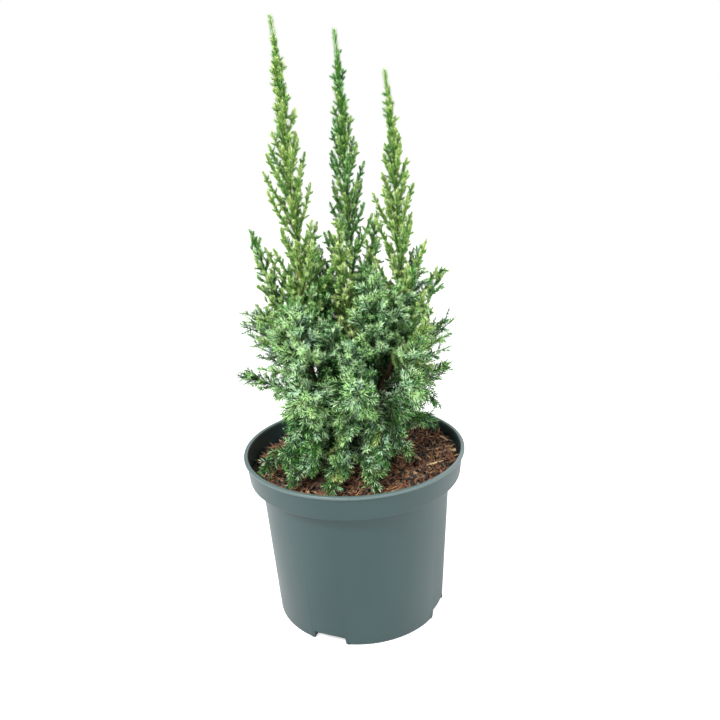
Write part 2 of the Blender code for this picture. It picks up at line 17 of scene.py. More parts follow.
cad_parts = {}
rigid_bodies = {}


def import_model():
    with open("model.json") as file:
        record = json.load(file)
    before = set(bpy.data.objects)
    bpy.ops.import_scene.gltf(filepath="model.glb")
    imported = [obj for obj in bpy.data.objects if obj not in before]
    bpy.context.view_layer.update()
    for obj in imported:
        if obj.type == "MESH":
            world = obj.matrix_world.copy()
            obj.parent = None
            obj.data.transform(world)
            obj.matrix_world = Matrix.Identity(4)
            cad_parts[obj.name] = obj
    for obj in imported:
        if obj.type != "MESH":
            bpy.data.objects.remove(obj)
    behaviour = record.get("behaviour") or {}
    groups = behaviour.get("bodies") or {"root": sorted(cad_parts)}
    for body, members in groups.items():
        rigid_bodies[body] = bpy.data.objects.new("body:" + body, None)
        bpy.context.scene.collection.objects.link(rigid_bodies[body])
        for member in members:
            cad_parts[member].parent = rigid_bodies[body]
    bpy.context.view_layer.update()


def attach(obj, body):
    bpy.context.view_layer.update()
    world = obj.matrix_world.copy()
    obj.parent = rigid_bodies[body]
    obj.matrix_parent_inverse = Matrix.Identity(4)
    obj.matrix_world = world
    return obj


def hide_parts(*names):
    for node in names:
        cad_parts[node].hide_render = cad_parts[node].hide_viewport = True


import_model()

# %% [markdown]
# ## The camera
# A product photo of a plant is taken from a little above the crown, close enough that the pot's rim shows
# as an open ellipse. The camera could be aimed by eye, but here it was worked out from the rim, the collar
# and the foot of the pot, whose real sizes are known. It looks 18 degrees down and leans by 3 degrees,
# which is why all three spires lean to the left in the picture.

# %% The camera
CAMERA_PLACE = Vector((0.0078, -0.567, 0.3926))
CAMERA_AHEAD = Vector((0.0, 0.9485, -0.3168)).normalized()
CAMERA_TILT = math.radians(2.77)
LENS_MM = 40


def add_camera():
    eye = bpy.data.cameras.new("camera")
    eye.lens = LENS_MM
    camera = bpy.data.objects.new("camera", eye)
    bpy.context.collection.objects.link(camera)
    level_right = CAMERA_AHEAD.cross(Vector((0, 0, 1))).normalized()
    right = Matrix.Rotation(CAMERA_TILT, 3, CAMERA_AHEAD) @ level_right
    up = right.cross(CAMERA_AHEAD)
    camera.matrix_world = Matrix(
        (
            (right.x, up.x, -CAMERA_AHEAD.x, CAMERA_PLACE.x),
            (right.y, up.y, -CAMERA_AHEAD.y, CAMERA_PLACE.y),
            (right.z, up.z, -CAMERA_AHEAD.z, CAMERA_PLACE.z),
            (0, 0, 0, 1),
        )
    )
    bpy.context.scene.camera = camera
    print("camera tilt", round(math.degrees(CAMERA_TILT), 2), "up", [round(c, 4) for c in up])


add_camera()

# %% [markdown]
# ## Helpers for materials
# Every finish here is a Principled shader. What changes over a surface comes from small node groups that
# are built once and placed with their own values: one that mottles a colour and one that turns noise into
# fine relief. A group gives out only colours, numbers and normals, so that an exporter can bake them.

# %% Node groups for mottling and for fine relief
def new_group(name, inputs, outputs):
    """An empty shader node group with the given sockets, its input node and its output node."""
    group = bpy.data.node_groups.new(name, "ShaderNodeTree")
    for label, kind, default in inputs:
        made = group.interface.new_socket(label, in_out="INPUT", socket_type=kind)
        if default is not None:
            made.default_value = default
    for label, kind in outputs:
        group.interface.new_socket(label, in_out="OUTPUT", socket_type=kind)
    return group, group.nodes.new("NodeGroupInput"), group.nodes.new("NodeGroupOutput")


def build_mottle():
    """Mixes a colour towards a second one in soft patches."""
    group, given, out = new_group(
        "mottle",
        (
            ("Colour", "NodeSocketColor", (0.5, 0.5, 0.5, 1)),
            ("Second colour", "NodeSocketColor", (0.4, 0.4, 0.4, 1)),
            ("Scale", "NodeSocketFloat", 100.0),
            ("Stretch", "NodeSocketVector", (1, 1, 1)),
            ("Contrast", "NodeSocketFloat", 1.0),
        ),
        (("Colour", "NodeSocketColor"), ("Patches", "NodeSocketFloat")),
    )
    place = group.nodes.new("ShaderNodeTexCoord")
    stretched = group.nodes.new("ShaderNodeVectorMath")
    stretched.operation = "MULTIPLY"
    cloud = group.nodes.new("ShaderNodeTexNoise")
    cloud.inputs["Detail"].default_value = 4
    steep = group.nodes.new("ShaderNodeMath")
    steep.operation = "MULTIPLY_ADD"
    steep.use_clamp = True
    back = group.nodes.new("ShaderNodeMath")
    back.operation = "MULTIPLY_ADD"
    back.inputs[1].default_value = -0.5
    back.inputs[2].default_value = 0.5
    mix = group.nodes.new("ShaderNodeMix")
    mix.data_type = "RGBA"
    link = group.links.new
    link(place.outputs["Object"], stretched.inputs[0])
    link(given.outputs["Stretch"], stretched.inputs[1])
    link(stretched.outputs[0], cloud.inputs["Vector"])
    link(given.outputs["Scale"], cloud.inputs["Scale"])
    link(given.outputs["Contrast"], back.inputs[0])
    link(cloud.outputs["Fac"], steep.inputs[0])
    link(given.outputs["Contrast"], steep.inputs[1])
    link(back.outputs[0], steep.inputs[2])
    link(steep.outputs[0], mix.inputs["Factor"])
    link(given.outputs["Colour"], mix.inputs["A"])
    link(given.outputs["Second colour"], mix.inputs["B"])
    link(mix.outputs["Result"], out.inputs["Colour"])
    link(steep.outputs[0], out.inputs["Patches"])
    return group


def build_relief():
    """Fine bumps of two sizes, as a normal."""
    group, given, out = new_group(
        "relief",
        (
            ("Scale", "NodeSocketFloat", 300.0),
            ("Stretch", "NodeSocketVector", (1, 1, 1)),
            ("Strength", "NodeSocketFloat", 0.2),
            ("Depth", "NodeSocketFloat", 0.0005),
        ),
        (("Normal", "NodeSocketVector"), ("Height", "NodeSocketFloat")),
    )
    place = group.nodes.new("ShaderNodeTexCoord")
    stretched = group.nodes.new("ShaderNodeVectorMath")
    stretched.operation = "MULTIPLY"
    cloud = group.nodes.new("ShaderNodeTexNoise")
    cloud.inputs["Detail"].default_value = 6
    cloud.inputs["Roughness"].default_value = 0.6
    bump = group.nodes.new("ShaderNodeBump")
    link = group.links.new
    link(place.outputs["Object"], stretched.inputs[0])
    link(given.outputs["Stretch"], stretched.inputs[1])
    link(stretched.outputs[0], cloud.inputs["Vector"])
    link(given.outputs["Scale"], cloud.inputs["Scale"])
    link(cloud.outputs["Fac"], bump.inputs["Height"])
    link(given.outputs["Strength"], bump.inputs["Strength"])
    link(given.outputs["Depth"], bump.inputs["Distance"])
    link(bump.outputs["Normal"], out.inputs["Normal"])
    link(cloud.outputs["Fac"], out.inputs["Height"])
    return group


MOTTLE = build_mottle()
RELIEF = build_relief()
print("node groups:", MOTTLE.name, RELIEF.name)


# %% Make a finish from the two groups
def placed(tree, group, **values):
    """A group placed in a material, with its inputs set by name."""
    node = tree.nodes.new("ShaderNodeGroup")
    node.node_tree = group
    for label, value in values.items():
        node.inputs[label.replace("_", " ")].default_value = value
    return node


def rgb(red, green, blue):
    """A colour as a screen shows it, from 0 to 255, made linear for the shader."""
    return tuple(
        c / 12.92 if c <= 0.04045 else ((c + 0.055) / 1.055) ** 2.4
        for c in (red / 255, green / 255, blue / 255)
    ) + (1.0,)


def spread_roughness(tree, fac, low, high):
    """Turns patches from 0 to 1 into roughness between low and high."""
    spread = tree.nodes.new("ShaderNodeMapRange")
    spread.inputs["To Min"].default_value = low
    spread.inputs["To Max"].default_value = high
    tree.links.new(fac, spread.inputs["Value"])
    return spread.outputs["Result"]


def finish(name, colour, second, scale, roughness, relief, stretch=(1, 1, 1), contrast=2.0, specular=0.5):
    """A mottled, finely bumped finish. relief is its scale, strength and depth."""
    made = bpy.data.materials.new(name)
    made.use_nodes = True
    tree = made.node_tree
    shader = tree.nodes["Principled BSDF"]
    shader.inputs["Specular IOR Level"].default_value = specular
    mottle = placed(
        tree, MOTTLE, Colour=colour, Second_colour=second, Scale=scale, Stretch=stretch, Contrast=contrast
    )
    bumps = placed(tree, RELIEF, Scale=relief[0], Strength=relief[1], Depth=relief[2], Stretch=stretch)
    tree.links.new(mottle.outputs["Colour"], shader.inputs["Base Color"])
    tree.links.new(bumps.outputs["Normal"], shader.inputs["Normal"])
    tree.links.new(spread_roughness(tree, mottle.outputs["Patches"], *roughness), shader.inputs["Roughness"])
    return made


def turn_with_height(made, colour, low, high):
    """Lets a finish turn to another colour between two heights."""
    tree = made.node_tree
    shader = tree.nodes["Principled BSDF"]
    before = shader.inputs["Base Color"].links[0].from_socket
    place = tree.nodes.new("ShaderNodeTexCoord")
    split = tree.nodes.new("ShaderNodeSeparateXYZ")
    rise = tree.nodes.new("ShaderNodeMapRange")
    rise.inputs["From Min"].default_value = low
    rise.inputs["From Max"].default_value = high
    mix = tree.nodes.new("ShaderNodeMix")
    mix.data_type = "RGBA"
    mix.inputs["B"].default_value = colour
    tree.links.new(place.outputs["Object"], split.inputs[0])
    tree.links.new(split.outputs["Z"], rise.inputs["Value"])
    tree.links.new(rise.outputs["Result"], mix.inputs["Factor"])
    tree.links.new(before, mix.inputs["A"])
    tree.links.new(mix.outputs["Result"], shader.inputs["Base Color"])


# %% [markdown]
# ## The stage and the light
# Plants are sold on a plain white ground under broad, soft light. A bright sky colour all round gives the
# even light, one large lamp at the front left gives the sprays a lit side, and a weaker one at the right
# opens the shadows. The sky is white where it is looked at and weaker where it lights the plant, so that
# the depths between the sprays stay dark. The floor is a wide pale disc that fades into the sky colour.

# %% Stage and light
FLOOR_RADIUS = 12.0
FLOOR_GLOW_SEEN = 0.62
FLOOR_GLOW = 0.12
SKY_SEEN = 1.0
SKY_LIGHT = 0.60
LAMPS = {
    "key": ((-0.9, -1.1, 1.6), 0.45, 56.0),
    "fill": ((1.3, -0.7, 0.8), 1.2, 17.0),
    "rim": ((0.4, 1.3, 1.3), 1.0, 9.0),
}


def add_lamp(name, place, size, power):
    lamp = bpy.data.lights.new(name, "AREA")
    lamp.size = size
    lamp.energy = power
    made = bpy.data.objects.new(name, lamp)
    made.location = place
    made.rotation_euler = (Vector((0, 0, 0.2)) - Vector(place)).to_track_quat("-Z", "Y").to_euler()
    bpy.context.collection.objects.link(made)


def seen_or_lit(tree, seen, lit):
    """One strength where the camera looks straight at a thing and another for the light it gives."""
    ray = tree.nodes.new("ShaderNodeLightPath")
    level = tree.nodes.new("ShaderNodeMapRange")
    level.inputs["To Min"].default_value = lit
    level.inputs["To Max"].default_value = seen
    tree.links.new(ray.outputs["Is Camera Ray"], level.inputs["Value"])
    return level.outputs["Result"]


def add_stage():
    bm = bmesh.new()
    bmesh.ops.create_circle(bm, cap_ends=True, segments=96, radius=FLOOR_RADIUS)
    bmesh.ops.translate(bm, verts=bm.verts, vec=(0, 0, -0.0003))
    mesh = bpy.data.meshes.new("floor")
    bm.to_mesh(mesh)
    bm.free()
    ground = finish("white ground", (0.9, 0.9, 0.9, 1), (0.88, 0.88, 0.88, 1), 3, (0.8, 0.9), (40, 0.02, 0.0002))
    shader = ground.node_tree.nodes["Principled BSDF"]
    shader.inputs["Emission Color"].default_value = (1, 1, 1, 1)
    ground.node_tree.links.new(
        seen_or_lit(ground.node_tree, FLOOR_GLOW_SEEN, FLOOR_GLOW), shader.inputs["Emission Strength"]
    )
    mesh.materials.append(ground)
    floor = bpy.data.objects.new("floor", mesh)
    bpy.context.collection.objects.link(floor)
    world = bpy.data.worlds.new("sky")
    world.use_nodes = True
    sky = world.node_tree.nodes["Background"]
    sky.inputs["Color"].default_value = (1, 1, 1, 1)
    world.node_tree.links.new(seen_or_lit(world.node_tree, SKY_SEEN, SKY_LIGHT), sky.inputs["Strength"])
    bpy.context.scene.world = world
    bpy.context.scene.view_settings.view_transform = "Standard"


add_stage()
for lamp_name, (lamp_place, lamp_size, lamp_power) in LAMPS.items():
    add_lamp(lamp_name, lamp_place, lamp_size, lamp_power)
print(len(LAMPS), "lamps and a floor")


# %% [markdown]
# ## Helpers for meshes
# Large pieces are made with bmesh. Pieces of many thousand small faces, such as needles, are worked out as
# arrays of points and corners and handed to Blender in one go, which takes a moment instead of minutes.

# %% Put a mesh into the scene
def add_piece(name, mesh, finishes, replaced=()):
    """A finished piece at the origin that rides on the one body."""
    for look in finishes:
        mesh.materials.append(look)
    made = bpy.data.objects.new(name, mesh)
    bpy.context.collection.objects.link(made)
    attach(made, "root")
    if replaced:
        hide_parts(*replaced)
    mesh.calc_loop_triangles()
    print(f"{name}: {len(mesh.loop_triangles)} triangles")
    return made


def mesh_from_bmesh(name, bm, smooth_angle=None):
    mesh = bpy.data.meshes.new(name)
    bm.to_mesh(mesh)
    bm.free()
    if smooth_angle:
        mesh.shade_smooth()
        mesh.set_sharp_from_angle(angle=math.radians(smooth_angle))
    return mesh


def mesh_from_arrays(name, points, corners, slots=None, smooth=False):
    """A mesh of triangles from points (n, 3), corners (m, 3) and each triangle's material slot."""
    mesh = bpy.data.meshes.new(name)
    mesh.vertices.add(len(points))
    mesh.vertices.foreach_set("co", np.asarray(points, np.float32).ravel())
    mesh.loops.add(3 * len(corners))
    mesh.loops.foreach_set("vertex_index", np.asarray(corners, np.int32).ravel())
    mesh.polygons.add(len(corners))
    mesh.polygons.foreach_set("loop_start", np.arange(0, 3 * len(corners), 3, dtype=np.int32))
    if slots is not None:
        mesh.polygons.foreach_set("material_index", np.asarray(slots, np.int32))
    mesh.polygons.foreach_set("use_smooth", np.full(len(corners), smooth))
    mesh.update(calc_edges=True)
    mesh.validate()
    return mesh


# %% [markdown]
# ## The pot
# A nursery pot is blown or injection moulded: a thin tapered wall with a rolled lip, a straight collar that
# lets pots stack, and a foot with shallow notches that let water out. It could be built from cylinders, but
# one profile turned about the axis gives the lip, the collar's step and the foot their soft moulded radii.
# The notches are then cut with blocks, each inside a small hood that keeps the compost out.

# %% Sizes of the pot
POT_HEIGHT = 0.134
LIP_RADIUS = 0.085
LIP_HEIGHT = 0.0026
LIP_WIDTH = 0.0030
COLLAR_TOP_RADIUS = 0.0835
COLLAR_FOOT_RADIUS = 0.0815
COLLAR_HEIGHT = 0.0195
BODY_TOP_RADIUS = 0.0730
FOOT_RADIUS = 0.0660
WALL = 0.0014
NOTCH_COUNT = 4
NOTCH_TURN = math.radians(-22.5)
NOTCH_WIDTH = 0.028
NOTCH_HEIGHT = 0.0070
NOTCH_DEPTH = 0.0080
DRAIN_SLOT = (0.0034, 0.014)
POT_SIDES = 160


# %% Turn the pot's profile
def rounded(profile):
    """The profile with each corner that has a radius replaced by a short arc."""
    points = []
    for k, (x, z, radius) in enumerate(profile):
        here = Vector((x, z))
        if not radius:
            points.append(here)
            continue
        before = (Vector(profile[k - 1][:2]) - here).normalized()
        after = (Vector(profile[k + 1][:2]) - here).normalized()
        for step in range(5):
            t = step / 4
            points.append(
                (here + before * radius) * (1 - t) ** 2 + here * 2 * t * (1 - t) + (here + after * radius) * t * t
            )
    return points


def turned(points, sides):
    """A solid of revolution from a profile that runs from the axis and back to it."""
    bm = bmesh.new()
    verts = [bm.verts.new((p.x, 0, p.y)) for p in points]
    edges = [bm.edges.new(pair) for pair in zip(verts, verts[1:])]
    bmesh.ops.spin(
        bm, geom=verts + edges, cent=(0, 0, 0), axis=(0, 0, 1), angle=math.tau, steps=sides, use_merge=True
    )
    bmesh.ops.remove_doubles(bm, verts=bm.verts, dist=1e-6)
    bmesh.ops.recalc_face_normals(bm, faces=bm.faces)
    return bm


def pot_profile():
    step = POT_HEIGHT - COLLAR_HEIGHT
    lip_foot = POT_HEIGHT - LIP_HEIGHT
    return rounded(
        (
            (0, 0, 0),
            (FOOT_RADIUS, 0, 0.0016),
            (BODY_TOP_RADIUS, step, 0.0012),
            (COLLAR_FOOT_RADIUS, step, 0.0009),
            (COLLAR_TOP_RADIUS, lip_foot, 0.0004),
            (LIP_RADIUS, lip_foot + 0.0004, 0.0006),
            (LIP_RADIUS, POT_HEIGHT, 0.0009),
            (LIP_RADIUS - LIP_WIDTH, POT_HEIGHT, 0.0007),
            (COLLAR_FOOT_RADIUS - WALL, step + WALL, 0.0009),
            (BODY_TOP_RADIUS - WALL, step + WALL, 0.0008),
            (FOOT_RADIUS - WALL, WALL, 0.0010),
            (0, WALL, 0),
        )
    )


# %% Cut the notches and join their hoods
def block(name, length, width, low, high, centre_radius, turn, splay=0.0):
    """A block along the radius. With splay, its top is narrower than its foot, like a moulded notch."""
    bm = bmesh.new()
    bmesh.ops.create_cube(bm, size=1.0)
    bmesh.ops.scale(bm, verts=bm.verts, vec=(length, width, high - low))
    bmesh.ops.translate(bm, verts=bm.verts, vec=(centre_radius, 0, (low + high) / 2))
    for vert in bm.verts:
        if vert.co.z > (low + high) / 2:
            vert.co.y *= 1 - splay
    bmesh.ops.rotate(bm, verts=bm.verts, cent=(0, 0, 0), matrix=Matrix.Rotation(turn, 3, "Z"))
    made = bpy.data.objects.new(name, mesh_from_bmesh(name, bm))
    bpy.context.collection.objects.link(made)
    return made


def with_boolean(mesh, cutters, operation):
    """The mesh after a Boolean with each cutter, which is then removed."""
    body = bpy.data.objects.new("body", mesh)
    bpy.context.collection.objects.link(body)
    for cutter in cutters:
        step = body.modifiers.new("step", "BOOLEAN")
        step.operation = operation
        step.object = cutter
    bpy.context.view_layer.update()
    made = bpy.data.meshes.new_from_object(body.evaluated_get(bpy.context.evaluated_depsgraph_get()))
    for thing in (body, *cutters):
        bpy.data.objects.remove(thing)
    return made


def build_pot():
    inner = FOOT_RADIUS - NOTCH_DEPTH
    turns = [NOTCH_TURN + math.tau * k / NOTCH_COUNT for k in range(NOTCH_COUNT)]
    hoods = [
        block(
            "hood", NOTCH_DEPTH + WALL / 2, NOTCH_WIDTH + 2 * WALL, WALL / 2, NOTCH_HEIGHT + WALL,
            inner + (NOTCH_DEPTH - 2.5 * WALL) / 2, turn, 0.1,
        )
        for turn in turns
    ]
    mesh = with_boolean(mesh_from_bmesh("pot_wall", turned(pot_profile(), POT_SIDES)), hoods, "UNION")
    notches = [
        block("notch", 2 * NOTCH_DEPTH, NOTCH_WIDTH, -NOTCH_HEIGHT, NOTCH_HEIGHT, inner + NOTCH_DEPTH, turn, 0.12)
        for turn in turns
    ]
    drains = [
        block("drain", *DRAIN_SLOT, NOTCH_HEIGHT / 2, 2 * NOTCH_HEIGHT, inner + NOTCH_DEPTH * 0.42, turn)
        for turn in turns
    ]
    mesh = with_boolean(mesh, notches + drains, "DIFFERENCE")
    mesh.name = "nursery_pot"
    mesh.shade_smooth()
    mesh.set_sharp_from_angle(angle=math.radians(35))
    return mesh


# %% [markdown]
# ## The pot's plastic
# Recycled black plastic weathers to a matte grey green with faint cloudy patches and fine scuffs, most of
# them running round the pot. One layer of mottling and a weak relief are enough: gloss comes from the
# roughness, so the white surroundings still give the collar its soft light edge.
# The lip's top is a lighter grey green: a painted highlight for the light that the rolled lip catches.

# %% Finish and place the pot
POT_COLOUR = rgb(24, 50, 52)
POT_CLOUD = rgb(32, 60, 60)


# Painted highlight: the lighter colour of the lip's top, standing in for the light it catches.
LIP_PAINTED_HIGHLIGHT = rgb(80, 98, 97)


def pot_finish():
    made = finish(
        "pot plastic", POT_COLOUR, POT_CLOUD, 26, (0.36, 0.46), (900, 0.10, 0.0002), (1, 1, 0.5), 1.6
    )
    # The finish turns to the painted highlight colour over the top of the lip.
    turn_with_height(made, LIP_PAINTED_HIGHLIGHT, POT_HEIGHT - LIP_HEIGHT, POT_HEIGHT - LIP_HEIGHT / 2)
    return made


add_piece("pot_moulded", build_pot(), [pot_finish()], ["pot"])

# %% [markdown]
# ## The bark compost
# The pot is topped with shredded bark: reddish flat chips, dark crumbs and pale fibres lying across each
# other. First comes a bed, a closed solid that fills the pot and whose top is already lumpy, so that no gap
# between the chips looks hollow. Then Geometry Nodes scatter chips over it. The tree picks one of several
# chip shapes at each point and gives it a random turn, tilt and size. It is run once for each colour.

# %% The compost's bed
SOIL_LEVEL = 0.1220
SOIL_SLOPE = 0.055
SOIL_BUMP = 0.0011
SOIL_FLAT_RADIUS = 0.012
SOIL_GAP = 0.0003
BED_RINGS = 60
BED_SIDES = 180


def soil_height(x, y):
    """Height of the compost: level at the trunk, higher to the right, with a gently heaped surface."""
    away = math.hypot(x, y)
    share = min(1.0, max(0.0, (away - SOIL_FLAT_RADIUS) / (2 * SOIL_FLAT_RADIUS)))
    bumps = math.sin(120 * x + 1.0) * math.cos(95 * y) + 0.6 * math.sin(210 * y + 60 * x)
    return SOIL_LEVEL + share * (SOIL_SLOPE * x + SOIL_BUMP * bumps)


def inner_radius(height):
    """Inside radius of the collar at a height."""
    share = (height - (POT_HEIGHT - COLLAR_HEIGHT)) / COLLAR_HEIGHT
    return COLLAR_FOOT_RADIUS - WALL + share * (LIP_RADIUS - LIP_WIDTH - COLLAR_FOOT_RADIUS + WALL)


def build_bed():
    step = POT_HEIGHT - COLLAR_HEIGHT
    clear = WALL + SOIL_GAP
    edge = inner_radius(SOIL_LEVEL) - SOIL_GAP
    profile = [
        Vector(p)
        for p in (
            (0, NOTCH_HEIGHT + 3 * WALL),
            (FOOT_RADIUS - clear, NOTCH_HEIGHT + 3 * WALL),
            (BODY_TOP_RADIUS - clear - 0.0005, step + clear),
            (COLLAR_FOOT_RADIUS - clear, step + clear),
        )
    ]
    profile += [Vector((edge * (1 - ring / BED_RINGS), SOIL_LEVEL)) for ring in range(BED_RINGS + 1)]
    bm = turned(profile, BED_SIDES)
    for vert in bm.verts:
        if vert.co.z > SOIL_LEVEL - 1e-5:
            crumbs = noise.fractal(vert.co * 260, 0.8, 2.0, 4) * 0.0011
            vert.co.z = soil_height(vert.co.x, vert.co.y) + crumbs - 0.0006
    return mesh_from_bmesh("compost_bed", bm, 60)


PEAT_DARK = rgb(26, 19, 16)
PEAT_LIGHT = rgb(62, 44, 36)
bed = add_piece(
    "compost_bed", build_bed(),
    [finish("peat", PEAT_DARK, PEAT_LIGHT, 420, (0.85, 1.0), (1400, 0.7, 0.001))],
    ["bark_compost"],
)


# %% Chip shapes
def chip_shapes(count, rng):
    """Small closed shards, long along X, in a hidden collection."""
    kept = bpy.data.collections.new("chip shapes")
    for k in range(count):
        bm = bmesh.new()
        bmesh.ops.create_cube(bm, size=1.0)
        bmesh.ops.subdivide_edges(bm, edges=[e for e in bm.edges if abs(e.verts[0].co.x - e.verts[1].co.x) > 0.5], cuts=1)
        bow = rng.uniform(-0.25, 0.25)
        for vert in bm.verts:
            middle = 1 - abs(vert.co.x) * 2
            taper = 0.45 + 0.55 * middle
            vert.co.y = vert.co.y * taper + rng.uniform(-0.10, 0.10)
            vert.co.z = vert.co.z * taper + bow * middle + rng.uniform(-0.14, 0.14)
            vert.co.x += rng.uniform(-0.09, 0.09)
        bmesh.ops.triangulate(bm, faces=bm.faces)
        bmesh.ops.recalc_face_normals(bm, faces=bm.faces)
        kept.objects.link(bpy.data.objects.new(f"chip_{k}", mesh_from_bmesh(f"chip_{k}", bm)))
    return kept


# %% A Geometry Nodes tree that scatters chips
def build_scatter():
    tree = bpy.data.node_groups.new("scatter chips", "GeometryNodeTree")
    for label, kind in (
        ("Geometry", "NodeSocketGeometry"),
        ("Chips", "NodeSocketCollection"),
        ("Density", "NodeSocketFloat"),
        ("Smallest", "NodeSocketVector"),
        ("Largest", "NodeSocketVector"),
        ("Tilt", "NodeSocketFloat"),
        ("Seed", "NodeSocketInt"),
        ("Finish", "NodeSocketMaterial"),
    ):
        tree.interface.new_socket(label, in_out="INPUT", socket_type=kind)
    tree.interface.new_socket("Geometry", in_out="OUTPUT", socket_type="NodeSocketGeometry")
    add = tree.nodes.new
    given, out = add("NodeGroupInput"), add("NodeGroupOutput")
    spread, place = add("GeometryNodeDistributePointsOnFaces"), add("GeometryNodeInstanceOnPoints")
    chips, turn, size = add("GeometryNodeCollectionInfo"), add("FunctionNodeRandomValue"), add("FunctionNodeRandomValue")
    low, high = add("ShaderNodeCombineXYZ"), add("ShaderNodeCombineXYZ")
    minus = add("ShaderNodeMath")
    real, paint = add("GeometryNodeRealizeInstances"), add("GeometryNodeSetMaterial")
    chips.inputs["Separate Children"].default_value = True
    place.inputs["Pick Instance"].default_value = True
    turn.data_type = size.data_type = "FLOAT_VECTOR"
    minus.operation = "MULTIPLY"
    minus.inputs[1].default_value = -1
    high.inputs["Z"].default_value = math.tau
    link = tree.links.new
    link(given.outputs["Geometry"], spread.inputs["Mesh"])
    link(given.outputs["Density"], spread.inputs["Density"])
    link(given.outputs["Seed"], spread.inputs["Seed"])
    link(given.outputs["Chips"], chips.inputs["Collection"])
    link(given.outputs["Tilt"], minus.inputs[0])
    for axis in "XY":
        link(given.outputs["Tilt"], high.inputs[axis])
        link(minus.outputs[0], low.inputs[axis])
    link(low.outputs[0], turn.inputs[0])
    link(high.outputs[0], turn.inputs[1])
    link(given.outputs["Smallest"], size.inputs[0])
    link(given.outputs["Largest"], size.inputs[1])
    link(given.outputs["Seed"], turn.inputs["Seed"])
    link(given.outputs["Seed"], size.inputs["Seed"])
    link(spread.outputs["Points"], place.inputs["Points"])
    link(chips.outputs[0], place.inputs["Instance"])
    link(turn.outputs[0], place.inputs["Rotation"])
    link(size.outputs[0], place.inputs["Scale"])
    link(place.outputs["Instances"], real.inputs["Geometry"])
    link(real.outputs["Geometry"], paint.inputs["Geometry"])
    link(given.outputs["Finish"], paint.inputs["Material"])
    link(paint.outputs["Geometry"], out.inputs["Geometry"])
    return tree


SCATTER = build_scatter()


def scattered(ground, **values):
    """The mesh that the tree makes over a ground, with its inputs set by name."""
    carrier = bpy.data.objects.new("ground", ground)
    bpy.context.collection.objects.link(carrier)
    step = carrier.modifiers.new("scatter", "NODES")
    step.node_group = SCATTER
    for item in SCATTER.interface.items_tree:
        if item.in_out == "INPUT" and item.name in values:
            step[item.identifier] = values[item.name]
    bpy.context.view_layer.update()
    made = bpy.data.meshes.new_from_object(carrier.evaluated_get(bpy.context.evaluated_depsgraph_get()))
    bpy.data.objects.remove(carrier)
    return made


# %% Scatter the chips by colour
CHIP_EDGE = 0.0775
CHIPS = {
    "bark_red": (rgb(138, 88, 56), rgb(92, 58, 40), 36000, (0.003, 0.0009, 0.0008), (0.012, 0.0023, 0.0018), 0.8, 3),
    "bark_brown": (rgb(118, 86, 60), rgb(80, 56, 42), 76000, (0.004, 0.0007, 0.0006), (0.014, 0.0018, 0.0014), 0.8, 5),
    "bark_dark": (rgb(50, 37, 32), rgb(30, 23, 21), 44000, (0.003, 0.0011, 0.0010), (0.011, 0.0030, 0.0024), 0.9, 7),
    "bark_grey": (rgb(146, 122, 98), rgb(104, 84, 68), 14000, (0.003, 0.0008, 0.0006), (0.011, 0.0018, 0.0014), 0.8, 11),
    "bark_tan": (rgb(194, 156, 108), rgb(148, 112, 74), 22000, (0.005, 0.0005, 0.0004), (0.015, 0.0011, 0.0008), 0.7, 13),
}
SPLINTERS = (
    ((0.067, 0.0015), 22, 0.023, 0.0012),
    ((0.077, -0.004), 76, 0.010, 0.0034),
    ((0.048, -0.013), -50, 0.008, 0.0022),
    ((0.071, 0.018), -62, 0.011, 0.0020),
    ((0.060, -0.022), 12, 0.013, 0.0014),
    ((-0.052, -0.052), 24, 0.014, 0.0018),
    ((0.024, -0.068), 8, 0.012, 0.0030),
    ((-0.070, -0.018), -70, 0.010, 0.0026),
    ((0.052, 0.048), 40, 0.013, 0.0022),
    ((-0.048, 0.056), -30, 0.012, 0.0020),
)


def chip_ground():
    """The patch of ground that chips lie on: a disc that stays clear of the pot's wall."""
    bm = bmesh.new()
    bmesh.ops.create_circle(bm, cap_ends=True, segments=64, radius=CHIP_EDGE)
    bmesh.ops.subdivide_edges(bm, edges=bm.edges, cuts=1)
    return mesh_from_bmesh("ground", bm)


def settle_chips(mesh):
    """Lets chips follow the heaped surface and keeps their ends off the pot's wall."""
    points = np.empty(3 * len(mesh.vertices), np.float32)
    mesh.vertices.foreach_get("co", points)
    points = points.reshape(-1, 3)
    for point in points:
        point[2] += soil_height(float(point[0]), float(point[1])) + 0.0008
        away = math.hypot(point[0], point[1])
        most = inner_radius(float(point[2])) - 0.0006
        if away > most:
            point[:2] *= most / away
    mesh.vertices.foreach_set("co", points.ravel())
    mesh.update()


def lay_splinters(shapes):
    """The few long pale splinters that lie on top, from their places, turns, lengths and widths."""
    whole = bmesh.new()
    for k, ((x, y), turn, length, width) in enumerate(SPLINTERS):
        bm = bmesh.new()
        bm.from_mesh(shapes[k % len(shapes)].data)
        bmesh.ops.scale(bm, verts=bm.verts, vec=(length, width, width * 0.6))
        bmesh.ops.rotate(bm, verts=bm.verts, cent=(0, 0, 0), matrix=Matrix.Rotation(math.radians(turn), 3, "Z"))
        bmesh.ops.translate(bm, verts=bm.verts, vec=(x, y, 0.0012))
        part = mesh_from_bmesh("splinter", bm)
        whole.from_mesh(part)
        bpy.data.meshes.remove(part)
    mesh = mesh_from_bmesh("bark_splinters", whole)
    settle_chips(mesh)
    look = finish("pale splinter", rgb(206, 178, 134), rgb(150, 118, 82), 420, (0.7, 0.9), (1200, 0.5, 0.0006), (0.4, 0.4, 1), 3)
    add_piece("bark_splinters", mesh, [look])


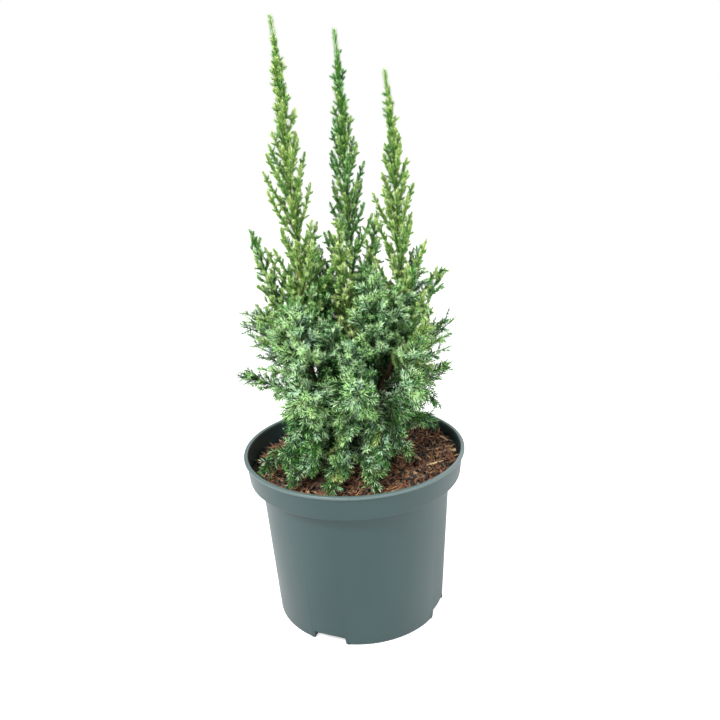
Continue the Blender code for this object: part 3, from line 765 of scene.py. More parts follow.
def build_chips():
    shapes = chip_shapes(9, random.Random(21))
    for name, (colour, second, density, smallest, largest, tilt, seed) in CHIPS.items():
        look = finish(name.replace("_", " "), colour, second, 500, (0.75, 0.95), (1500, 0.5, 0.0006), contrast=3)
        mesh = scattered(
            chip_ground(), Chips=shapes, Density=float(density), Smallest=smallest, Largest=largest,
            Tilt=tilt, Seed=seed, Finish=look,
        )
        mesh.name = name
        mesh.materials.clear()
        settle_chips(mesh)
        add_piece(name, mesh, [look])
    lay_splinters(list(shapes.objects))
    for shape in list(shapes.objects):
        bpy.data.objects.remove(shape)
    bpy.data.collections.remove(shapes)


build_chips()

# %% [markdown]
# ## Lines that limbs follow
# Trunk, leaders, boughs and sprigs all follow smooth lines. A line is kept as a function of a share from 0
# to 1, so that a limb, the twigs on it and the needles on those can ask for a point or a direction wherever
# they need it. The named sizes are those of the solids: where each branch leaves, where its foliage ends,
# how far its middle is lifted, and how much of it is a bare bough.

# %% Sizes of trunk, leaders and branches
TRUNK_TOP = 0.152
TRUNK_RADII = (0.0068, 0.0050, 0.0043, 0.0040)
SPIRE_RADIUS = 0.0014
SPIRE_BOW = {"left": -0.0032, "middle": -0.0010, "right": -0.0020}
BOUGH_RADIUS = 0.0017
TWIG_RADIUS = 0.0011
GAP = 0.0003
SEED = 7
GOLDEN_TURN = math.radians(137.5)

LEADERS = {
    "left": {
        "stem": ((-0.0045, 0.000, 0.142), (-0.020, -0.004, 0.172), (-0.0325, -0.006, 0.222), (-0.0318, -0.006, 0.290)),
        "tip": (-0.0395, -0.008, 0.442),
        "radii": (0.0027, 0.0015),
    },
    "middle": {
        "stem": ((0.0015, 0.002, TRUNK_TOP + GAP), (0.004, 0.012, 0.200), (0.0050, 0.018, 0.284)),
        "tip": (0.0010, 0.020, 0.434),
        "radii": (0.0038, 0.0016),
    },
    "right": {
        "stem": ((0.0055, 0.001, 0.146), (0.022, -0.002, 0.180), (0.0365, -0.004, 0.220), (0.0395, -0.005, 0.268)),
        "tip": (0.0330, -0.006, 0.406),
        "radii": (0.0027, 0.0015),
    },
}
BRANCHES = {
    "left_upper": ("left", 0.222, (-0.066, 0.004, 0.303), -0.010, 0.26),
    "left_high": ("left", 0.206, (-0.066, -0.016, 0.268), -0.008, 0.26),
    "left_mid": ("left", 0.186, (-0.070, 0.004, 0.244), -0.006, 0.28),
    "left_arm": ("left", 0.164, (-0.080, -0.014, 0.192), 0.007, 0.28),
    "left_back": ("left", 0.176, (-0.052, 0.044, 0.226), -0.004, 0.28),
    "left_back_high": ("left", 0.216, (-0.040, 0.032, 0.288), -0.008, 0.0),
    "left_inner": ("left", 0.226, (-0.0145, -0.012, 0.300), -0.006, 0.0),
    "left_front_high": ("left", 0.196, (-0.036, -0.040, 0.256), -0.006, 0.26),
    "front_rising": ("middle", 0.188, (-0.003, -0.024, 0.312), -0.012, 0.20),
    "front_inner": ("middle", 0.172, (0.020, -0.032, 0.276), -0.012, 0.24),
    "front_left": ("left", 0.158, (-0.036, -0.056, 0.206), -0.004, 0.28),
    "front_centre": ("middle", 0.162, (0.006, -0.066, 0.200), 0.006, 0.28),
    "front_right": ("right", 0.162, (0.044, -0.052, 0.200), 0.002, 0.28),
    "right_upper": ("right", 0.212, (0.070, 0.002, 0.270), -0.008, 0.26),
    "right_rising": ("right", 0.186, (0.060, -0.026, 0.248), -0.012, 0.26),
    "right_mid": ("right", 0.176, (0.071, 0.008, 0.228), -0.004, 0.28),
    "right_arm": ("right", 0.164, (0.077, -0.014, 0.190), 0.005, 0.28),
    "right_back": ("right", 0.172, (0.052, 0.046, 0.220), -0.004, 0.28),
    "right_back_high": ("right", 0.206, (0.044, 0.034, 0.280), -0.008, 0.0),
    "middle_right": ("middle", 0.212, (0.0245, 0.006, 0.312), -0.008, 0.0),
    "back_rising": ("middle", 0.196, (-0.008, 0.056, 0.270), -0.006, 0.26),
    "back_arm": ("middle", 0.164, (0.004, 0.074, 0.206), 0.004, 0.28),
}
LOW_SPRAYS = {
    "low_front_left": (0.131, (-0.045, -0.052, 0.1300), 0.012),
    "low_front": (0.129, (-0.017, -0.064, 0.1290), 0.012),
    "low_front_right": (0.134, (0.014, -0.067, 0.1310), 0.013),
    "low_left": (0.1285, (-0.069, -0.026, 0.1290), 0.014),
    "low_right_front": (0.131, (0.045, -0.030, 0.1370), 0.010),
    "low_right": (0.136, (0.066, 0.004, 0.1480), 0.012),
    "low_back_right": (0.132, (0.046, 0.046, 0.1450), 0.012),
    "low_back": (0.136, (0.000, 0.064, 0.1420), 0.014),
    "low_back_left": (0.133, (-0.047, 0.040, 0.1430), 0.012),
}


# %% Lines and directions
def smooth_path(points):
    """The Catmull-Rom curve through the points."""
    points = [Vector(p) for p in points]
    ends = [2 * points[0] - points[1], *points, 2 * points[-1] - points[-2]]

    def at(t):
        place = min(max(t, 0.0), 1.0) * (len(points) - 1)
        k = min(int(place), len(points) - 2)
        u = place - k
        a, b, c, d = ends[k : k + 4]
        return 0.5 * (2 * b + (c - a) * u + (2 * a - 5 * b + 4 * c - d) * u * u + (3 * b - a - 3 * c + d) * u ** 3)
    return at


def arched(start, end, lift):
    def at(t):
        return start.lerp(end, t) + Vector((0, 0, lift)) * 4 * t * (1 - t)
    return at


def bent(foot, middle, tip):
    def at(t):
        return foot * (1 - t) ** 2 + middle * 2 * t * (1 - t) + tip * t * t
    return at


def bowed(path, sideways):
    """The path with its lower half moved along X."""
    def at(t):
        left = min(max(1 - t, 0.0), 1.0)
        return path(t) + Vector((sideways * math.sin(math.pi * left ** 1.6), 0, 0))
    return at


def part_of(path, low, high):
    def at(t):
        return path(low + (high - low) * t)
    return at


def leaning(path, sideways, up):
    """The path with its tip moved along X and Z, and everything before it less and less."""
    def at(t):
        return path(t) + Vector((sideways, 0, up)) * t * t
    return at


def direction(path, t):
    step = 0.01
    low, high = (t - step, t + step) if step < t < 1 - step else (t, t + step) if t <= step else (t - step, t)
    return (path(high) - path(low)).normalized()


def length_of(path, steps=12):
    return sum((path((k + 1) / steps) - path(k / steps)).length for k in range(steps))


def side_of(path):
    """A direction square to the whole path, from which turns about it are counted."""
    chord = (path(1) - path(0)).normalized()
    return chord.cross(Vector((0, 0, 1)) if abs(chord.z) < 0.9 else Vector((0, -1, 0))).normalized()


def across(axis, turn, side):
    side = (side - axis * side.dot(axis)).normalized()
    return side * math.cos(turn) + axis.cross(side) * math.sin(turn)


# %% Where each limb starts
def trunk_path(t):
    return Vector((0.0015 * t, 0.002 * t * t, SOIL_LEVEL + (TRUNK_TOP - SOIL_LEVEL) * t))


def trunk_radius(height):
    share = (height - SOIL_LEVEL) / (TRUNK_TOP - SOIL_LEVEL) * (len(TRUNK_RADII) - 1)
    k = min(max(int(share), 0), len(TRUNK_RADII) - 2)
    return TRUNK_RADII[k] + (TRUNK_RADII[k + 1] - TRUNK_RADII[k]) * (share - k)


def at_height(path, height):
    """Share of a rising path at which it reaches a height."""
    low, high = 0.0, 1.0
    for _ in range(30):
        middle = (low + high) / 2
        low, high = (middle, high) if path(middle).z < height else (low, middle)
    return low


def foot_on(point, axis, radius, tip):
    """Where a limb leaves its carrier, on the side towards its tip, sunk in so that the bark closes round it."""
    towards = tip - point
    facing = (towards - axis * towards.dot(axis)).normalized()
    return point + facing * radius * 0.5


def lay_out():
    """The lines of leaders, spires, boughs and masses, all worked out from the named sizes."""
    lines = {"leaders": {}, "spires": {}, "boughs": {}, "masses": {}}
    for name, leader in LEADERS.items():
        points = [Vector(p) for p in leader["stem"]]
        if name != "middle":
            trunk_point = trunk_path((points[0].z - SOIL_LEVEL) / (TRUNK_TOP - SOIL_LEVEL))
            points[0] = foot_on(trunk_point, Vector((0, 0, 1)), trunk_radius(points[0].z), points[1])
        stem = smooth_path(points)
        top, tip = points[-1], Vector(leader["tip"])
        rise = (top - points[-2]).normalized()
        lines["leaders"][name] = stem
        lines["spires"][name] = bowed(bent(top, top + rise * (tip - top).length * 0.5, tip), SPIRE_BOW[name])
    for name, (carrier, height, tip, lift, bare) in BRANCHES.items():
        stem = lines["leaders"][carrier]
        radii = LEADERS[carrier]["radii"]
        t = at_height(stem, height)
        radius = radii[0] + (radii[1] - radii[0]) * t
        path = arched(foot_on(stem(t), direction(stem, t), radius, Vector(tip)), Vector(tip), lift)
        if bare:
            lines["boughs"][name] = (part_of(path, 0, bare), min(BOUGH_RADIUS, radius * 0.8))
        lines["masses"][name] = ("bough", part_of(path, bare, 1), 0.0 if bare else 0.10)
    for name, (height, tip, lift) in LOW_SPRAYS.items():
        point = trunk_path((height - SOIL_LEVEL) / (TRUNK_TOP - SOIL_LEVEL))
        start = foot_on(point, Vector((0, 0, 1)), trunk_radius(height), Vector(tip))
        lines["masses"][name] = ("low", arched(start, Vector(tip), lift), 0.18)
    return lines


LINES = lay_out()
print({kind: len(found) for kind, found in LINES.items()})

# %% [markdown]
# ## Trunk, leaders and boughs
# Juniper bark is thin and stringy: it splits into long fibres that follow the limb. A smooth tube would
# look like a pipe, so each limb is a fine tube whose surface is pushed in and out by noise that is stretched
# along it. The young ends of the leaders are still green and smooth, so there the relief fades, and the
# finish turns from reddish brown to yellow green with height.

# %% Tubes with bark relief
def bark_tube(path, radius_at, sides, steps, relief_at, flutes):
    """Points and corners of a closed tube. Its relief is noise that runs along it."""
    side = side_of(path)
    points, corners = [], []
    for k in range(steps + 1):
        t = k / steps
        centre, axis = path(t), direction(path, t)
        for j in range(sides):
            turn = math.tau * j / sides
            out = across(axis, turn, side)
            grain = noise.fractal(Vector((math.cos(turn) * flutes, math.sin(turn) * flutes, t * 9)), 0.7, 2.0, 4)
            points.append(centre + out * (radius_at(t) * (1 + relief_at(t) * grain)))
    for k in range(steps):
        for j in range(sides):
            a, b = k * sides + j, k * sides + (j + 1) % sides
            corners += [(a, b, a + sides), (b, b + sides, a + sides)]
    for ring, flip in ((0, True), (steps * sides, False)):
        points.append(path(0) if flip else path(1))
        for j in range(sides):
            pair = (ring + j, ring + (j + 1) % sides)
            corners.append((*(pair[::-1] if flip else pair), len(points) - 1))
    return np.array([tuple(p) for p in points]), np.array(corners)


def joined(parts):
    """Several (points, corners) as one."""
    shift, points, corners = 0, [], []
    for part_points, part_corners in parts:
        points.append(part_points)
        corners.append(part_corners + shift)
        shift += len(part_points)
    return np.vstack(points), np.vstack(corners)


def stem_finish():
    """Stringy bark below, fresh green shoot above."""
    made = finish(
        "juniper bark", rgb(112, 72, 48), rgb(66, 44, 34), 300, (0.75, 0.95), (800, 0.8, 0.0008), (1, 1, 0.12), 3
    )
    turn_with_height(made, rgb(128, 142, 64), 0.195, 0.250)
    return made


BARK = stem_finish()


def build_limbs():
    def flared(t):
        return trunk_radius(SOIL_LEVEL + (TRUNK_TOP - SOIL_LEVEL) * t)
    trunk = bark_tube(part_of(trunk_path, -0.05, 1.0), flared, 40, 60, lambda t: 0.16, 3.5)
    add_piece("trunk_bark", mesh_from_arrays("trunk_bark", *trunk, smooth=True), [BARK], ["trunk"])
    for name, stem in LINES["leaders"].items():
        low, high = LEADERS[name]["radii"]
        tube = bark_tube(
            stem, lambda t, low=low, high=high: low + (high - low) * t, 18, 150, lambda t: 0.16 * (1 - 0.8 * t), 2.5
        )
        mesh = mesh_from_arrays(f"leader_{name}_bark", *tube, smooth=True)
        add_piece(mesh.name, mesh, [BARK], [f"leader_{name}"])
    tubes = [
        bark_tube(path, lambda t, r=radius: r + (TWIG_RADIUS - r) * t, 12, 24, lambda t: 0.14, 2.2)
        for path, radius in LINES["boughs"].values()
    ]
    mesh = mesh_from_arrays("boughs_bark", *joined(tubes), smooth=True)
    add_piece(mesh.name, mesh, [BARK], [f"bough_{name}" for name in LINES["boughs"]])


build_limbs()

# %% [markdown]
# ## Shoots
# A juniper's crown is shoots on shoots. Each mass has a stem, sprigs stand round that stem by the golden
# turn, and short side shoots stand on the sprigs. The same rule makes all three, with sizes that depend on
# where a shoot grows: upright and tight on the spires, wider in the crown, and flat on the low sprays.
# Each spray gets a tone by its height, by how far out it reaches and by chance; sprays further in get darker greens as
# painted shade.

# %% How shoots grow
HABITS = {
    "spire": {"pitch": 0.0031, "longest": 0.046, "shortest": 0.0060, "fall": 1.25, "angles": (31, 20),
              "turn_up": 0.32, "side_pitch": 0.0023, "side": (0.0032, 0.0062), "side_angle": 48, "tight": 1.0},
    "crest": {"pitch": 0.0034, "longest": 0.054, "shortest": 0.040, "fall": 0.8, "angles": (42, 32),
              "turn_up": 0.35, "side_pitch": 0.0025, "side": (0.0036, 0.0070), "side_angle": 50, "tight": 0.95},
    "plume": {"pitch": 0.0028, "longest": 0.028, "shortest": 0.0070, "fall": 1.1, "angles": (48, 32),
              "turn_up": 0.22, "side_pitch": 0.0028, "side": (0.0040, 0.0078), "side_angle": 50, "tight": 0.80},
    "bough": {"pitch": 0.0021, "longest": 0.036, "shortest": 0.011, "fall": 0.8, "angles": (56, 34),
              "turn_up": 0.18, "side_pitch": 0.0052, "side": (0.0055, 0.0135), "side_angle": 44, "tight": 0.20},
    "droop": {"pitch": 0.0021, "longest": 0.035, "shortest": 0.011, "fall": 0.8, "angles": (58, 34),
              "turn_up": -0.18, "side_pitch": 0.0052, "side": (0.0055, 0.0125), "side_angle": 40, "tight": 0.05},
    "arm": {"pitch": 0.0017, "longest": 0.020, "shortest": 0.008, "fall": 1.0, "angles": (44, 26),
            "turn_up": 0.12, "side_pitch": 0.0042, "side": (0.0045, 0.0090), "side_angle": 42, "tight": 0.25},
    "low": {"pitch": 0.0020, "longest": 0.021, "shortest": 0.008, "fall": 0.8, "angles": (42, 24),
            "turn_up": -0.08, "side_pitch": 0.0054, "side": (0.0050, 0.0090), "side_angle": 36, "tight": 0.0},
    "twig": {"pitch": 0.0026, "longest": 0.028, "shortest": 0.008, "fall": 0.8, "angles": (48, 30),
             "turn_up": 0.20, "side_pitch": 0.0042, "side": (0.0050, 0.0105), "side_angle": 44, "tight": 0.45},
    "inner": {"pitch": 0.0018, "longest": 0.048, "shortest": 0.022, "fall": 0.8, "angles": (68, 44),
              "turn_up": 0.12, "side_pitch": 0.0054, "side": (0.0060, 0.0135), "side_angle": 42, "tight": 0.15},
    "collar": {"pitch": 0.0009, "longest": 0.044, "shortest": 0.030, "fall": 0.8, "angles": (84, 62),
               "turn_up": -0.10, "side_pitch": 0.0054, "side": (0.0060, 0.0125), "side_angle": 40, "tight": 0.0},
}
PLUMES = (
    "left_upper", "left_high", "left_inner", "left_back_high", "front_rising", "right_upper", "right_rising",
    "right_back_high", "middle_right", "back_rising",
)
SUNNY = ("front_rising", "right_rising")
DROOPING = ("front_left", "front_centre", "front_right", "back_arm")
ARMS = ("left_arm", "right_arm")
LEANS = {
    "left_arm": (0.003, 0.008), "left_high": (0.002, -0.014), "left_inner": (-0.006, 0.0), "right_arm": (-0.007, 0.010),
}


def sprig_path(stem, t, turn, length, angle, turn_up):
    """The curved line of a shoot that leaves a stem at share t, leans off it by angle and turns up."""
    axis = direction(stem, t)
    lean = (axis * math.cos(angle) + across(axis, turn, side_of(stem)) * math.sin(angle)).normalized()
    foot = stem(t)
    middle = foot + lean * length * 0.5
    tip = middle + (lean * 0.5 + Vector((0, 0, 1)) * turn_up).normalized() * length * 0.5
    return bent(foot, middle, tip)


def above_compost(path, radius):
    for k in range(1, 5):
        p = path(k / 4)
        over_rim = math.hypot(p.x, p.y) > COLLAR_FOOT_RADIUS - WALL - radius
        floor = POT_HEIGHT if over_rim else soil_height(p.x, p.y)
        if p.z - radius < floor:
            return False
    return True


def shoot(path, length, level, tone, tight, radius):
    return {"path": path, "length": length, "level": level, "tone": tone, "tight": tight, "radius": radius}


def grow_shoots(stem, habit, bare, rng, tone_of):
    """Sprigs round a stem and side shoots on the sprigs."""
    length, tight = length_of(stem), habit["tight"]
    grown = []
    count = max(2, round(length * (0.96 - bare) / habit["pitch"]))
    turn = rng.random() * math.tau
    for k in range(count):
        t = bare + (0.96 - bare) * (k + rng.uniform(0.3, 0.7)) / count
        share = (t - bare) / (1 - bare)
        size = habit["shortest"] + (habit["longest"] - habit["shortest"]) * (1 - share) ** habit["fall"]
        size *= rng.uniform(0.62, 1.08) * (1 if share < 0.85 else 0.75)
        turn += GOLDEN_TURN
        angle = math.radians(habit["angles"][0] + (habit["angles"][1] - habit["angles"][0]) * share)
        path = sprig_path(stem, t, turn, size, angle * rng.uniform(0.85, 1.15), habit["turn_up"])
        if not above_compost(path, 0.002):
            continue
        tone = tone_of(path(1), rng)
        grown.append(shoot(path, size, 1, tone, tight, 0.0006))
        sides = max(1, int(size * 0.72 / habit["side_pitch"]))
        side_turn = rng.random() * math.tau
        for j in range(sides):
            s = 0.20 + 0.66 * (j + rng.uniform(0.2, 0.8)) / sides
            side_turn += GOLDEN_TURN
            reach = habit["side"][0] + (habit["side"][1] - habit["side"][0]) * (1 - s) * rng.uniform(0.6, 1.3)
            side_angle = math.radians(habit["side_angle"]) * rng.uniform(0.85, 1.15)
            side = sprig_path(path, s, side_turn, reach, side_angle, habit["turn_up"] * 0.4)
            if above_compost(side, 0.002):
                grown.append(shoot(side, reach, 2, tone, tight, 0.0004))
    return grown


# %% Tones of the sprays
TONES = ("tip", "lime", "fresh", "grass", "leaf", "mint", "sea", "blue", "deep", "yellow")


def spire_tone(shaded):
    """Fresh greens. The middle spire stands in the shade of the others, so it is darker."""
    def of(point, rng):
        roll = rng.random()
        if shaded:
            return "fresh" if roll < 0.55 else "grass" if roll < 0.80 else "leaf"
        return "lime" if roll < 0.75 else "fresh"
    return of


CROWN_RADII = ((0.130, 0.058), (0.160, 0.064), (0.190, 0.076), (0.230, 0.070), (0.270, 0.058), (0.310, 0.040))


def reach_of(point):
    """How far out a point lies in the crown: 0 on the axis, 1 at the outline for its height."""
    heights, radii = zip(*CROWN_RADII)
    return math.hypot(point.x, point.y) / float(np.interp(point.z, heights, radii))


def crown_tone(point, rng):
    """Painted shade: deep green inside the crown. Bluish in the middle, fresh above and at the outline."""
    reach = reach_of(point) + rng.uniform(-0.12, 0.12)
    height = (point.z - 0.150) / 0.150
    roll = rng.random()
    # Painted shade: sprays deep inside the crown take the darkest green.
    if reach < 0.42:
        return "deep"
    if reach < 0.66:
        return "deep" if roll < 0.30 - 0.2 * height else "sea" if roll < 0.75 else "leaf"
    if roll < 0.05 + 0.85 * height:
        return "grass" if rng.random() < height + 0.2 else "leaf"
    return "mint" if roll < 0.12 else "leaf" if roll < 0.50 else "sea" if roll < 0.80 else "blue"


def plume_tone(point, rng):
    roll = rng.random()
    return "fresh" if roll < 0.65 else "grass" if roll < 0.92 else "leaf"


# Painted shade: the low sprays that end further in, under the crown, take mostly the deep green. Further out a bluish
# mix, and a few yellowed sprays in front.
def low_tone(point, rng):
    reach = reach_of(point) + rng.uniform(-0.12, 0.12)
    roll = rng.random()
    if point.y < -0.03 and abs(point.x) < 0.02 and roll < 0.05:
        return "yellow"
    if reach < 0.60:
        return "deep" if roll < 0.70 else "sea"
    return "mint" if roll < 0.06 else "leaf" if roll < 0.34 else "sea" if roll < 0.76 else "blue"


# %% Grow every mass
REGIONS = {
    "left_high": ("left_upper", "left_high", "left_inner", "left_back_high", "left_front_high"),
    "left_low": ("left_mid", "left_arm", "left_back"),
    "front_high": ("front_rising", "front_inner", "middle_right"),
    "front_low": ("front_left", "front_centre", "front_right"),
    "right_high": ("right_upper", "right_rising", "right_back_high"),
    "right_low": ("right_mid", "right_arm", "right_back"),
    "back": ("back_rising", "back_arm"),
    "skirt": tuple(LOW_SPRAYS),
    "heart": (),
    "core": (),
    "veil": (),
}
INNER_SPAN = {"left": (0.146, 0.240), "middle": (0.156, 0.250), "right": (0.148, 0.228)}
INNER_TWIGS = (
    ("left", 0.200, (-0.014, -0.014, 0.268), -0.006),
    ("left", 0.184, (-0.010, -0.034, 0.240), -0.004),
    ("left", 0.210, (-0.016, 0.012, 0.285), -0.006),
    ("left", 0.192, (-0.048, -0.030, 0.240), -0.004),
    ("middle", 0.176, (-0.016, -0.006, 0.246), -0.006),
    ("middle", 0.200, (-0.012, 0.006, 0.275), -0.006),
    ("middle", 0.186, (0.020, -0.010, 0.262), -0.006),
    ("middle", 0.170, (0.000, -0.046, 0.232), -0.004),
    ("middle", 0.190, (0.012, 0.046, 0.262), -0.006),
    ("right", 0.188, (0.020, -0.026, 0.250), -0.005),
    ("right", 0.196, (0.022, 0.010, 0.268), -0.006),
    ("right", 0.180, (0.050, -0.034, 0.226), -0.004),
    ("right", 0.176, (0.030, 0.040, 0.250), -0.005),
    ("left", 0.180, (-0.024, 0.042, 0.248), -0.005),
    ("left", 0.196, (-0.030, -0.022, 0.246), -0.006),
    ("right", 0.200, (0.034, -0.022, 0.262), -0.006),
    ("right", 0.208, (0.046, -0.016, 0.272), -0.006),
    ("right", 0.214, (0.053, -0.008, 0.286), -0.006),
)
HANGING_TWIGS = (
    ("left", 0.172, (-0.030, -0.056, 0.142), 0.016),
    ("middle", 0.170, (-0.006, -0.060, 0.140), 0.018),
    ("right", 0.168, (0.022, -0.056, 0.142), 0.016),
    ("left", 0.176, (-0.048, -0.042, 0.138), 0.016),
    ("right", 0.174, (0.034, -0.030, 0.150), 0.014),
    ("left", 0.164, (-0.044, -0.044, 0.134), 0.014),
    ("right", 0.160, (0.020, -0.044, 0.136), 0.012),
    ("left", 0.170, (-0.046, -0.016, 0.138), 0.014),
    ("right", 0.180, (0.064, -0.004, 0.166), 0.012),
    ("middle", 0.172, (-0.020, 0.056, 0.146), 0.014),
    ("middle", 0.176, (0.026, 0.054, 0.150), 0.014),
    ("left", 0.172, (-0.052, 0.030, 0.146), 0.014),
    ("right", 0.172, (0.054, 0.026, 0.152), 0.012),
)
COLLAR_SPAN = (0.132, 0.150)
CREST_SPAN = {"left": (0.236, 0.292), "middle": (0.244, 0.286), "right": (0.222, 0.270)}


def region_of(name):
    return next(region for region, names in REGIONS.items() if name in names)


OPENINGS = (
    ((0.027, -0.040, 0.190), (0.010, 0.044, 0.030)),
    ((0.000, -0.052, 0.150), (0.008, 0.030, 0.010)),
    ((-0.026, -0.044, 0.205), (0.006, 0.040, 0.007)),
    ((-0.070, -0.005, 0.254), (0.011, 0.060, 0.012)),
    ((-0.046, 0.000, 0.278), (0.005, 0.050, 0.009)),
    ((0.066, 0.000, 0.240), (0.008, 0.060, 0.010)),
    ((0.052, -0.026, 0.137), (0.011, 0.014, 0.012)),
    ((0.072, 0.002, 0.150), (0.008, 0.012, 0.010)),
)


def is_open(point):
    """Whether a point lies in one of the openings of the crown, which are ellipsoids."""
    return any(
        sum(((p - c) / r) ** 2 for p, c, r in zip(point, centre, radii)) < 1 for centre, radii in OPENINGS
    )


def grow_all():
    """Every shoot of the plant, kept by the region that its needles are joined in."""
    found = {f"spire_{name}": [] for name in LINES["spires"]}
    found.update({region: [] for region in REGIONS})
    for name, spire in LINES["spires"].items():
        rng = random.Random(f"{SEED}-spire_{name}")
        tone_of = spire_tone(name == "middle")
        region = found[f"spire_{name}"]
        region.append(shoot(spire, length_of(spire), 0, tone_of(spire(1), rng), 1.0, SPIRE_RADIUS))
        region += grow_shoots(part_of(spire, 0, 0.93), HABITS["spire"], 0.0, rng, tone_of)
    for name, (kind, stem, bare) in LINES["masses"].items():
        stem = leaning(stem, *LEANS.get(name, (0, 0)))
        rng = random.Random(f"{SEED}-foliage_{name}")
        tone_of = low_tone if kind == "low" else plume_tone if name in PLUMES else crown_tone
        if name in SUNNY:
            tone_of = spire_tone(False)
        habit = HABITS[
            "plume" if name in PLUMES else "droop" if name in DROOPING else "arm" if name in ARMS else kind
        ]
        region = found[region_of(name)]
        region.append(shoot(stem, length_of(stem), 0, tone_of(stem(1), rng), habit["tight"], TWIG_RADIUS))
        region += grow_shoots(stem, habit, bare, rng, tone_of)
    for name, stem in LINES["leaders"].items():
        rng = random.Random(f"{SEED}-inner_{name}")
        low, high = (at_height(stem, height) for height in INNER_SPAN[name])
        found["heart"] += grow_shoots(part_of(stem, low, high), HABITS["inner"], 0.0, rng, crown_tone)
        low, high = (at_height(stem, height) for height in CREST_SPAN[name])
        tone_of = spire_tone(name == "middle")
        found[f"spire_{name}"] += grow_shoots(part_of(stem, low, high), HABITS["crest"], 0.0, rng, tone_of)
    for k, (carrier, height, tip, lift) in enumerate(INNER_TWIGS):
        rng = random.Random(f"{SEED}-twig_{k}")
        stem = LINES["leaders"][carrier]
        twig = arched(stem(at_height(stem, height)), Vector(tip), lift)
        found["core"].append(shoot(twig, length_of(twig), 0, crown_tone(twig(1), rng), 0.4, TWIG_RADIUS))
        found["core"] += grow_shoots(twig, HABITS["twig"], 0.2, rng, crown_tone)
    for k, (carrier, height, tip, lift) in enumerate(HANGING_TWIGS):
        rng = random.Random(f"{SEED}-hanging_{k}")
        stem = LINES["leaders"][carrier]
        twig = arched(stem(at_height(stem, height)), Vector(tip), lift)
        found["veil"].append(shoot(twig, length_of(twig), 0, low_tone(twig(1), rng), 0.0, TWIG_RADIUS))
        found["veil"] += grow_shoots(twig, HABITS["low"], 0.25, rng, low_tone)
    rng = random.Random(f"{SEED}-collar")
    low, high = (at_height(trunk_path, height) for height in COLLAR_SPAN)
    found["heart"] += grow_shoots(part_of(trunk_path, low, high), HABITS["collar"], 0.0, rng, low_tone)
    for region in REGIONS:
        found[region] = [s for s in found[region] if s["level"] == 0 or not (is_open(s["path"](1)) or is_open(s["path"](0.5)))]
    return found


SHOOTS = grow_all()
print({region: len(shoots) for region, shoots in SHOOTS.items()})
print("metres of shoot:", round(sum(s["length"] for shoots in SHOOTS.values() for s in shoots), 1))

# %% [markdown]
# ## Needles
# A needle of this juniper is a stiff pointed blade, 3 to 7 mm long and a millimetre wide, keeled below and
# with a pale waxy band above. Three stand together at each node, and the next three fill their gaps. A
# needle here has four points and four faces: foot, two shoulders and a tip. The edge from foot to tip is the
# keel, and the two upper faces take the pale finish. On the spires the needles lie along the shoot, in the crown they spread, and at the end of
# every shoot they shorten and close into a bud.

# %% Needles as arrays
NEEDLE = {"length": (0.0039, 0.0053), "width": (0.00094, 0.00088), "angle": (38, 50), "pitch": (0.00074, 0.00140)}
YOUNG_NEEDLE = (0.72, 0.92)
NEEDLE_THICK = 0.00030
BUD_LENGTH = (0.0028, 0.0038)
LIGHTER = {
    "tip": "tip", "lime": "tip", "fresh": "lime", "grass": "mint", "leaf": "grass", "mint": "mint", "sea": "mint",
    "blue": "mint", "deep": "leaf", "yellow": "tip",
}
DARKER = {
    "tip": "lime", "lime": "fresh", "fresh": "leaf", "grass": "leaf", "leaf": "deep", "mint": "leaf", "sea": "deep",
    "blue": "deep", "deep": "deep", "yellow": "fresh",
}
CORNERS = np.array([(0, 2, 1), (1, 2, 3), (0, 1, 3), (0, 3, 2)])
UPPER = np.array([True, True, False, False])


def blend_of(sizes, tight):
    """A size between its value on a tight shoot and its value on an open one."""
    close, wide = sizes
    return wide + (close - wide) * tight


def needles_on(grown, rng):
    """Feet, directions, upper sides, lengths, widths and tones of all needles of one shoot."""
    path, length, tight = grown["path"], grown["length"], grown["tight"]
    pitch = blend_of(NEEDLE["pitch"], tight)
    bud_length = blend_of(BUD_LENGTH, tight)
    scale = blend_of(YOUNG_NEEDLE, tight) if grown["level"] == 2 else 1.0
    count = max(2, int(length / pitch))
    side = side_of(path)
    turn = rng.random() * math.tau
    rows = []
    for k in range(count):
        s = (k + 0.6) * pitch / length
        if grown["level"] == 0 and s < 0.06:
            continue
        left = length * (1 - s)
        bud = min(1.0, left / bud_length)
        axis, foot = direction(path, s), path(s)
        turn += math.pi / 3
        young = left < 0.30 * length and left < 0.008 and grown["level"] > 0
        spray = LIGHTER[grown["tone"]] if young else grown["tone"]
        for j in range(3):
            out = across(axis, turn + math.tau * j / 3 + rng.uniform(-0.25, 0.25), side)
            angle = math.radians(blend_of(NEEDLE["angle"], tight)) * rng.uniform(0.75, 1.2) * (0.35 + 0.65 * bud)
            size = scale * blend_of(NEEDLE["length"], tight) * rng.uniform(0.8, 1.15) * (0.6 + 0.4 * bud)
            roll = rng.random()
            tone = LIGHTER[spray] if roll < 0.22 else DARKER[spray] if roll > 0.68 else spray
            ahead = axis * math.cos(angle) + out * math.sin(angle)
            upper = axis * math.sin(angle) - out * math.cos(angle)
            start = foot + out * grown["radius"] * 0.5
            rows.append((*start, *ahead, *upper, size, blend_of(NEEDLE["width"], tight) * (0.55 + 0.45 * bud), TONES.index(tone)))
    return rows


